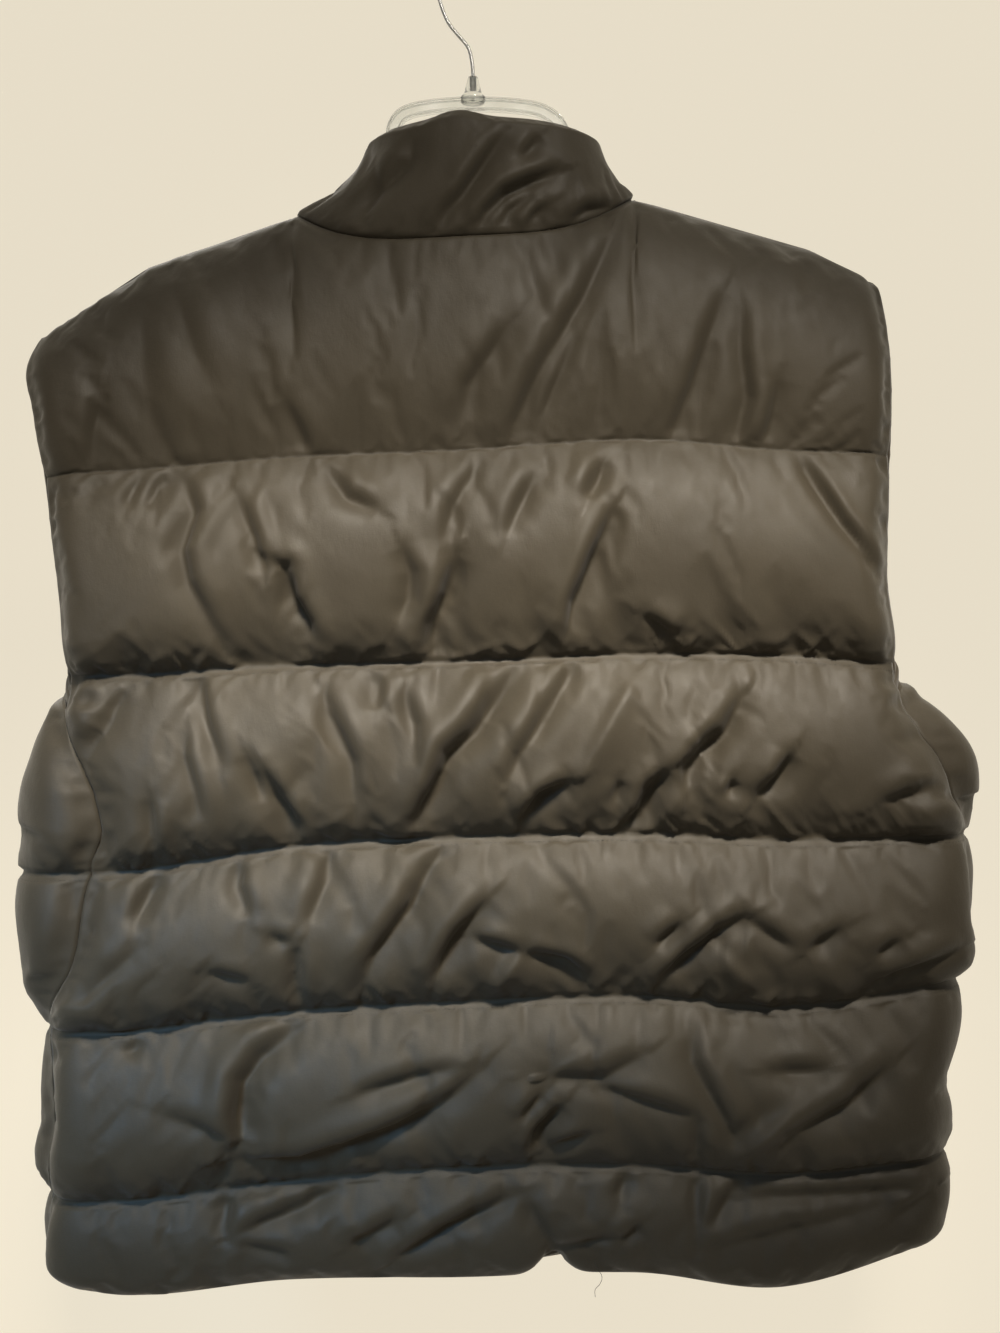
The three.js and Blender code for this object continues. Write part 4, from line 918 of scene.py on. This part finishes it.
def loose_thread():
    """A thread that has come out of the hem."""
    data = bpy.data.curves.new("hem_thread", "CURVE")
    data.dimensions = "3D"
    data.bevel_depth = 0.16 * MM
    data.bevel_resolution = 2
    path = ((89, -50, -916), (91, -56, -921), (94, -58, -926), (92.5, -58, -931), (89.5, -57, -935),
            (89.5, -57, -940))
    spline = data.splines.new("BEZIER")
    spline.bezier_points.add(len(path) - 1)
    for point, place in zip(spline.bezier_points, path):
        point.co = Vector(place) * MM
        point.handle_left_type = point.handle_right_type = "AUTO"
    made = bpy.data.objects.new("hem_thread", data)
    bpy.context.scene.collection.objects.link(made)
    return made


# The zip

CHAIN_BACK, CHAIN_FRONT, CHAIN_HALF = 46.7, 49.3, 3
TAPE_BACK, TAPE_FRONT = 47.4, 48.6
SLIDER_Z = -186                # the slider's middle
ZIP_FOOT = float(line_heights(np.array([ZIP_X]))[0, 0]) + 1
ZIP_HEAD = COLLAR_TOP["front"] - 1
TOOTH_PITCH, TOOTH_HALF = 2.6, 0.62


def make_tape(side):
    """One zip tape, from inside the teeth that are clamped on it to inside the front's edge."""
    near, far = 1.0, ZIP_HALF + 0.6
    z = np.linspace(ZIP_FOOT, ZIP_HEAD, 260)
    across = np.array([near, near + 1.2, near + 2.6, near + 4.2, far])
    x = ZIP_X + side * across[None, :] + 0 * z[:, None]
    wave = 0.12 * ripple(z / 18, z * 0 + side, 31)[:, None]
    front = np.stack([x, TAPE_FRONT + wave + 0 * x, z[:, None] + 0 * x], axis=-1)
    rear = front - np.array([0, TAPE_FRONT - TAPE_BACK, 0])
    rows, columns = x.shape
    faces = grid_faces(rows, columns, flip=side > 0)
    faces += grid_faces(rows, columns, rows * columns, side < 0)
    sides = zip(border(rows, columns), border(rows, columns, rows * columns))
    for one, other in sides:
        for k in range(len(one) - 1):
            face = [one[k + 1], one[k], other[k], other[k + 1]]
            faces.append([int(n) for n in (face if side < 0 else face[::-1])])
    name = "zip_tape_woven_" + ("left" if side < 0 else "right")
    return new_object(name, np.concatenate([front.reshape(-1, 3), rear.reshape(-1, 3)]), faces)


def tooth(foot, head, z):
    """One moulded tooth: an eight-sided block, rounded at its back and its front, that stands
    out from its foot on the tape and is widest before its head."""
    points = []
    way = 1 if head > foot else -1
    layers = ((CHAIN_BACK, 0.35), (CHAIN_BACK + 0.5, 0), (CHAIN_FRONT - 0.5, 0), (CHAIN_FRONT, 0.35))
    for y, inset in layers:
        end = head - way * inset
        neck = (foot + end) / 2
        wide = TOOTH_HALF - inset * 0.6
        narrow = wide * 0.62
        half = ((foot, narrow), (neck, narrow), (neck + way * 0.3, wide), (end, wide * 0.7))
        points += [(x, y, z - h) for x, h in half] + [(x, y, z + h) for x, h in half[::-1]]
    faces = [[0, 1, 2, 3, 4, 5, 6, 7], [31, 30, 29, 28, 27, 26, 25, 24]] + tube_faces(4, 8, flip=True)
    if head < foot:
        faces = [face[::-1] for face in faces]
    return np.array(points), faces


def tooth_rows(low, high, foot, head):
    """Two rows of teeth between two heights. Their feet stand off the middle, and their heads
    pass it, or stop short of it where head is less than nothing."""
    rows = []
    for k in range(int((high - low) / TOOTH_PITCH)):
        z = low + k * TOOTH_PITCH
        rows.append(tooth(ZIP_X - foot, ZIP_X + head, z))
        rows.append(tooth(ZIP_X + foot, ZIP_X - head, z + TOOTH_PITCH / 2))
    return rows


def make_teeth():
    """The teeth locked below the slider, and a few open ones above it."""
    locked = tooth_rows(ZIP_FOOT + 1, SLIDER_Z - 2, CHAIN_HALF, 0.9)
    return joined("zip_teeth", locked + tooth_rows(SLIDER_Z + 7, ZIP_HEAD, CHAIN_HALF + 0.2, -0.5))


def softened(node, name, width):
    """A copy of a solid with its sharp corners rounded."""
    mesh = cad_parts[node].data.copy()
    mesh.materials.clear()
    made = bpy.data.objects.new(name, mesh)
    bpy.context.scene.collection.objects.link(made)
    weld = made.modifiers.new("weld", "WELD")
    weld.merge_threshold = 0.01 * MM
    mesh.polygons.foreach_set("use_smooth", [True] * len(mesh.polygons))
    round_corners(made, width, 40)
    return made


# The hanger

BAR_HALF, BAR_CLEAR = 4.5, 0.9

# The bar's crown and the hook's stem, across and up, and the boss: radius and height
CROWN = (
    (-97, -203.5), (-80, -194.5), (-65, -182), (-54, -165), (-51, -147), (-50, -133),
    (-43, -123.5), (-24, -118.5), (6, -116.5), (38, -118), (56, -122), (67, -131), (72, -147),
    (80, -168), (98, -190),
)
ARM_TIPS = (-216, 236)
HOOK_STEM = ((6, -109.5), (6, -96), (5.2, -86), (2.6, -76.5), (-4.3, -68), (-11.6, -58.6),
             (-17.6, -43))
HOOK_RADIUS, WIRE_RADIUS, HOOK_END = 22.5, 1.4, -35
BOSS = (
    (7.6, -116), (8.4, -115.4), (8.6, -114.4), (8.6, -111.6), (8.2, -110.8), (6.2, -108.5),
    (4.9, -103), (4, -99.5), (3.2, -97.4), (2.4, -97), (1.5, -97), (1.5, -109),
)


def arm_path(side):
    """One arm of the hanger, just under the shoulder's cloth."""
    tip = ARM_TIPS[0] if side < 0 else ARM_TIPS[1]
    start = side * (NECK_HALF + 4)
    slope = float((shoulder_height(tip) - shoulder_height(start)) / (tip - start))
    drop = BAR_CLEAR + BAR_HALF * math.hypot(1, slope)
    return [(x, float(shoulder_height(x)) - drop) for x in (start, (start + tip) / 2, tip)]


def through(path, step):
    """Evenly spaced points along a smooth line through a path in the garment's plane."""
    path = np.array(path, float)
    run = np.concatenate([[0], np.cumsum(np.hypot(*np.diff(path, axis=0).T))])
    at = np.linspace(0, run[-1], int(run[-1] / step))
    return np.stack([curve(run, path[:, 0], at), curve(run, path[:, 1], at)], axis=-1)


def swept(name, path, section):
    """A section of (across, depth) points carried along a path, closed at both ends."""
    path, section = np.asarray(path, float), np.asarray(section, float)
    way = unit(np.gradient(path, axis=0))
    across = np.stack([-way[:, 1], way[:, 0]], axis=-1)
    x = path[:, None, 0] + across[:, None, 0] * section[None, :, 0]
    z = path[:, None, 1] + across[:, None, 1] * section[None, :, 0]
    y = np.broadcast_to(section[None, :, 1], x.shape)
    return capped_tube(name, np.stack([x, y, z], axis=-1))


def turned(name, profile, sides, x):
    """A profile of (radius, height) points turned about an upright line."""
    around = 2 * math.pi * np.arange(sides) / sides
    rings = [np.stack([x + radius * np.cos(around), radius * np.sin(around), z + 0 * around], axis=-1)
             for radius, z in profile]
    return capped_tube(name, np.stack(rings))


def make_hanger():
    """The moulded bar, of an H section with two rims, and the boss that holds the hook."""
    left, right = arm_path(-1)[::-1], arm_path(1)
    middle = through([left[2], *CROWN, right[0]], 2.5)
    path = [*through(left, 6)[:-1], *middle, *through(right, 6)[1:]]
    flange, web, rim = 4.3, 0.9, BAR_HALF - 1.5
    section = [(-BAR_HALF, -flange), (-BAR_HALF, flange), (-rim, flange), (-rim, web),
               (rim, web), (rim, flange), (BAR_HALF, flange), (BAR_HALF, -flange),
               (rim, -flange), (rim, -web), (-rim, -web), (-rim, -flange)]
    bar = swept("hanger_bar", path, section)
    round_corners(bar, 0.45)
    return bar, turned("hanger_boss", BOSS, 40, HOOK_STEM[0][0])


def make_hook():
    """The wire from its foot in the boss, up the stem and round to its open end."""
    middle = WIRE_RADIUS - HOOK_RADIUS
    rise = through([*HOOK_STEM, (-HOOK_RADIUS, middle)], 2)
    angles = np.linspace(math.pi, math.radians(HOOK_END), 60)[1:]
    arc = np.stack([HOOK_RADIUS * np.cos(angles), middle + HOOK_RADIUS * np.sin(angles)], axis=-1)
    around = 2 * math.pi * np.arange(16) / 16
    section = np.stack([np.sin(around), np.cos(around)], axis=-1) * WIRE_RADIUS
    return swept("hook_wire", [*rise, *arc], section)


# Materials

class Value:
    """A socket in a material, which works as a number in sums."""

    def __init__(self, material, socket):
        self.material, self.socket = material, socket

    def math(self, operation, first, second):
        return self.material.node("ShaderNodeMath", {"operation": operation}, {0: first, 1: second})

    def __add__(self, other):
        return self.math("ADD", self, other)

    def __sub__(self, other):
        return self.math("SUBTRACT", self, other)

    def __mul__(self, other):
        return self.math("MULTIPLY", self, other)

    def __rsub__(self, other):
        return self.math("SUBTRACT", other, self)

    __radd__, __rmul__ = __add__, __mul__


class Material:
    def __init__(self, name):
        self.made = bpy.data.materials.new(name)
        self.made.use_nodes = True
        self.tree = self.made.node_tree
        self.shader = self.tree.nodes["Principled BSDF"]

    def put(self, socket, value):
        if isinstance(value, Value):
            self.tree.links.new(value.socket, socket)
        else:
            socket.default_value = value

    def node(self, kind, settings=None, sockets=None, out=0):
        """A node of any type, its settings first, then the values or links of its sockets."""
        node = self.tree.nodes.new(kind)
        for key, value in (settings or {}).items():
            setattr(node, key, value)
        for key, value in (sockets or {}).items():
            self.put(node.inputs[key], value)
        return Value(self, node.outputs[out])

    def set(self, **values):
        """Sets sockets of the shader, each by its own name."""
        for key, value in values.items():
            self.put(self.shader.inputs[key.replace("_", " ").title().replace("Ior", "IOR")], value)

    def place(self):
        """Where a point is on its own piece, in metres."""
        return self.node("ShaderNodeTexCoord", out=3)

    def stretched(self, scale, turn=(0, 0, 0)):
        sockets = {"Vector": self.place(), "Scale": scale, "Rotation": turn}
        return self.node("ShaderNodeMapping", None, sockets)

    def noise(self, vector, scale, detail=3.0, roughness=0.5):
        return self.node("ShaderNodeTexNoise", None,
                         {"Vector": vector, "Scale": scale, "Detail": detail, "Roughness": roughness})

    def bands(self, way, scale):
        return self.node("ShaderNodeTexWave", {"bands_direction": way},
                         {"Vector": self.place(), "Scale": scale})

    def between(self, value, low, high, out_low=0.0, out_high=1.0):
        return self.node("ShaderNodeMapRange", {"clamp": True}, {
            "Value": value, "From Min": low, "From Max": high, "To Min": out_low, "To Max": out_high})

    def mixed(self, factor, first, second):
        return self.node("ShaderNodeMix", {"data_type": "RGBA"}, {0: factor, 6: first, 7: second}, out=2)

    def bump(self, height, distance, strength=1.0):
        self.set(normal=self.node("ShaderNodeBump", None, {
            "Height": height, "Distance": distance, "Strength": strength}))


def colour(r, g, b):
    return (r, g, b, 1)


def taffeta(name, tone):
    """Thin nylon taffeta: a fine thread, faint crinkles and a soft uneven gloss."""
    cloth = Material(name)
    crinkle = cloth.noise(cloth.stretched((1, 1, 0.5), (0, 0.5, 0)), 95, 4, 0.6)
    thread = cloth.noise(cloth.stretched((0.35, 0.35, 4)), 900, 1)
    warp = cloth.noise(cloth.stretched((4, 4, 0.3)), 900, 1)
    wear = cloth.noise(cloth.place(), 9, 4)
    shade = cloth.between(wear + 0.5 * (thread - 0.5) + 0.3 * (warp - 0.5), 0.3, 0.72)
    dark, light = (tuple(c * k for c in tone) for k in (0.88, 1.12))
    cloth.set(base_color=cloth.mixed(shade, colour(*dark), colour(*light)))
    cloth.set(roughness=cloth.between(crinkle + 0.5 * (warp - 0.5), 0.3, 0.75, 0.52, 0.68))
    cloth.set(specular_ior_level=0.4, sheen_weight=0.12, sheen_roughness=0.45)
    cloth.bump(crinkle + 0.12 * (thread + warp), 0.7 * MM, 0.55)
    return cloth.made


def woven_tape():
    tape = Material("woven_tape")
    rows = tape.bands("Z", 330)
    cord = tape.bands("X", 260)
    dark, light = colour(0.012, 0.012, 0.01), colour(0.035, 0.033, 0.028)
    tape.set(base_color=tape.mixed(rows * 0.6 + cord * 0.4, dark, light))
    tape.set(roughness=0.85)
    tape.bump(rows * 0.5 + cord * 0.5, 0.25 * MM)
    return tape.made


def sewing_thread():
    thread = Material("sewing_thread")
    twist = thread.bands("DIAGONAL", 700)
    dark, light = colour(0.028, 0.025, 0.019), colour(0.055, 0.049, 0.038)
    thread.set(base_color=thread.mixed(twist, dark, light))
    thread.set(roughness=0.6)
    return thread.made


def moulded_teeth():
    teeth = Material("moulded_teeth")
    grain = teeth.noise(teeth.place(), 900, 2)
    teeth.set(base_color=teeth.mixed(grain, colour(0.01, 0.01, 0.01), colour(0.022, 0.022, 0.021)))
    teeth.set(roughness=teeth.between(grain, 0.3, 0.7, 0.3, 0.42))
    return teeth.made


def dark_nickel():
    metal = Material("dark_nickel")
    scuff = metal.noise(metal.stretched((1, 1, 5)), 420, 4, 0.7)
    metal.set(base_color=metal.mixed(scuff, colour(0.17, 0.165, 0.155), colour(0.3, 0.29, 0.275)))
    metal.set(metallic=1.0, roughness=metal.between(scuff, 0.3, 0.75, 0.22, 0.45))
    return metal.made


def bright_wire():
    wire = Material("bright_wire")
    draw = wire.noise(wire.stretched((3, 3, 0.4)), 500, 3, 0.6)
    wire.set(base_color=wire.mixed(draw, colour(0.66, 0.66, 0.65), colour(0.84, 0.84, 0.82)))
    wire.set(metallic=0.6, roughness=wire.between(draw, 0.3, 0.75, 0.24, 0.38))
    return wire.made


def clear_styrene():
    clear = Material("clear_styrene")
    haze = clear.noise(clear.place(), 60, 3)
    clear.set(base_color=clear.mixed(haze, colour(0.93, 0.95, 0.93), colour(0.97, 0.98, 0.97)))
    clear.set(roughness=clear.between(haze, 0.35, 0.7, 0.05, 0.14), transmission_weight=0.92, ior=1.56)
    clear.bump(haze, 0.3 * MM, 0.3)
    return clear.made


def one_sided(name, tone, depth, glow):
    """A painted surface that is seen from its face only, and that light passes."""
    paint = Material(name)
    paint.set(emission_color=colour(*tone), emission_strength=glow, roughness=0.9)
    mottle = paint.noise(paint.place(), 1.6, 4)
    dark, light = (tuple(c * k * depth for c in tone) for k in (0.94, 1))
    paint.set(base_color=paint.mixed(mottle, colour(*dark), colour(*light)))
    rear = paint.node("ShaderNodeNewGeometry", out=6)
    shadow = paint.node("ShaderNodeLightPath", out=1)
    through_it = paint.node("ShaderNodeBsdfTransparent")
    painted = Value(paint, paint.shader.outputs[0])
    both = paint.node("ShaderNodeMixShader", None, {0: rear + shadow, 1: painted, 2: through_it})
    paint.put(paint.tree.nodes["Material Output"].inputs[0], both)
    return paint.made


# Studio

def make_plane(name, size, place, turn, material):
    x, z = size[0] / 2, size[1] / 2
    mesh = bpy.data.meshes.new(name)
    mesh.from_pydata([(-x, -z, 0), (x, -z, 0), (x, z, 0), (-x, z, 0)], [], [(0, 1, 2, 3)])
    plane = bpy.data.objects.new(name, mesh)
    plane.location, plane.rotation_euler = place, turn
    plane.data.materials.append(material)
    bpy.context.scene.collection.objects.link(plane)


def make_light(name, place, aim, size, power, tint, spread):
    data = bpy.data.lights.new(name, "AREA")
    data.shape = "RECTANGLE"
    data.size, data.size_y = size
    data.energy, data.color = power, tint
    data.spread = math.radians(spread)
    lamp = bpy.data.objects.new(name, data)
    lamp.location = place
    lamp.rotation_euler = (Vector(aim) - Vector(place)).to_track_quat("-Z", "Y").to_euler()
    bpy.context.scene.collection.objects.link(lamp)


# Name, place, aim, size, power in watts, tint and spread in degrees
LAMPS = (
    ("high_window", (0.12, -1.0, 0.5), (0.0, 0, -0.6), (0.66, 0.16), 1.3, (1, 0.92, 0.8), 22),
    ("cool_low", (-0.7, -1.0, -0.35), (-0.14, 0, -0.84), (0.3, 0.3), 0.34, (0.3, 0.62, 1), 36),
    ("front_side", (-0.4, 2.2, 0.5), (0, 0, -0.5), (1.6, 1.4), 45, (1, 0.97, 0.92), 180),
    ("collar_lamp", (0.35, -0.9, 0.4), (0.02, 0, -0.17), (0.2, 0.2), 0.1, (1, 0.93, 0.82), 22),
)


def light_the_studio():
    """A cream wall behind the vest, a pale floor, four lamps and a little light all round."""
    cream = one_sided("cream_wall", (0.9, 0.82, 0.66), 0.28, 0.84)
    pale = one_sided("pale_floor", (0.8, 0.77, 0.7), 0.6, 0.03)
    make_plane("back_wall", (8, 6), (0, 0.34, 0.4), (math.pi / 2, 0, 0), cream)
    make_plane("floor", (8, 8), (0, 0, -1.35), (0, 0, 0), pale)
    for lamp in LAMPS:
        make_light(*lamp)
    world = bpy.data.worlds.new("studio")
    world.use_nodes = True
    world.node_tree.nodes["Background"].inputs[0].default_value = (1, 0.96, 0.9, 1)
    world.node_tree.nodes["Background"].inputs[1].default_value = 0.14
    bpy.context.scene.world = world
    bpy.context.scene.view_settings.view_transform = "Standard"


# The whole vest

def wear(piece, material, slot, body="vest", nodes=()):
    """Gives a piece its material, sets it on its body and has it stand for its nodes. The slot is not used.
    """
    piece.data.materials.clear()
    piece.data.materials.append(material)
    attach(piece, body)
    if nodes:
        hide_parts(*nodes)


def dress_the_vest():
    cloth = taffeta("olive_taffeta", (0.06, 0.049, 0.032))
    # The armhole edges are the same taffeta; this copy is made darker as painted shade on the turned edges.
    painted_shade_cloth = taffeta("painted_shade_taffeta", (0.054, 0.041, 0.025))
    thread = sewing_thread()
    tape = woven_tape()
    plans = (
        ("back", BACK_FOLDS, 139, 11),
        ("front_left", FRONT_FOLDS, 67, 23),
        ("front_right", FRONT_FOLDS, 67, 37),
    )
    for panel, folds, columns, seed in plans:
        piece, points, level = make_panel(panel, folds, columns, seed)
        wear(piece, cloth, "cloth", nodes=[panel])
        wear(sewing_of("stitches_" + panel, points, level), thread, "trim")
    collar = make_collar(53)
    wear(collar, cloth, "cloth", nodes=["collar"])
    for side, name in ((-1, "left"), (1, "right")):
        wear(make_arm_edge(side, 61 + side), painted_shade_cloth, "trim", nodes=["armhole_" + name])
        wear(make_tape(side), tape, "tape", nodes=["zip_tape_" + name])
    wear(loose_thread(), thread, "trim")
    wear(make_teeth(), moulded_teeth(), "teeth", nodes=["zip_chain"])
    metal = dark_nickel()
    wear(softened("zip_slider", "slider_cast", 0.25), metal, "metal", nodes=["zip_slider"])
    wear(softened("zip_pull", "pull_tab", 0.25), metal, "metal", body="zip_pull", nodes=["zip_pull"])
    clear = clear_styrene()
    bar, boss = make_hanger()
    wear(bar, clear, "clear", nodes=["hanger_body"])
    wear(boss, clear, "clear")
    wear(make_hook(), bright_wire(), "wire", nodes=["hanger_hook"])


dress_the_vest()
light_the_studio()
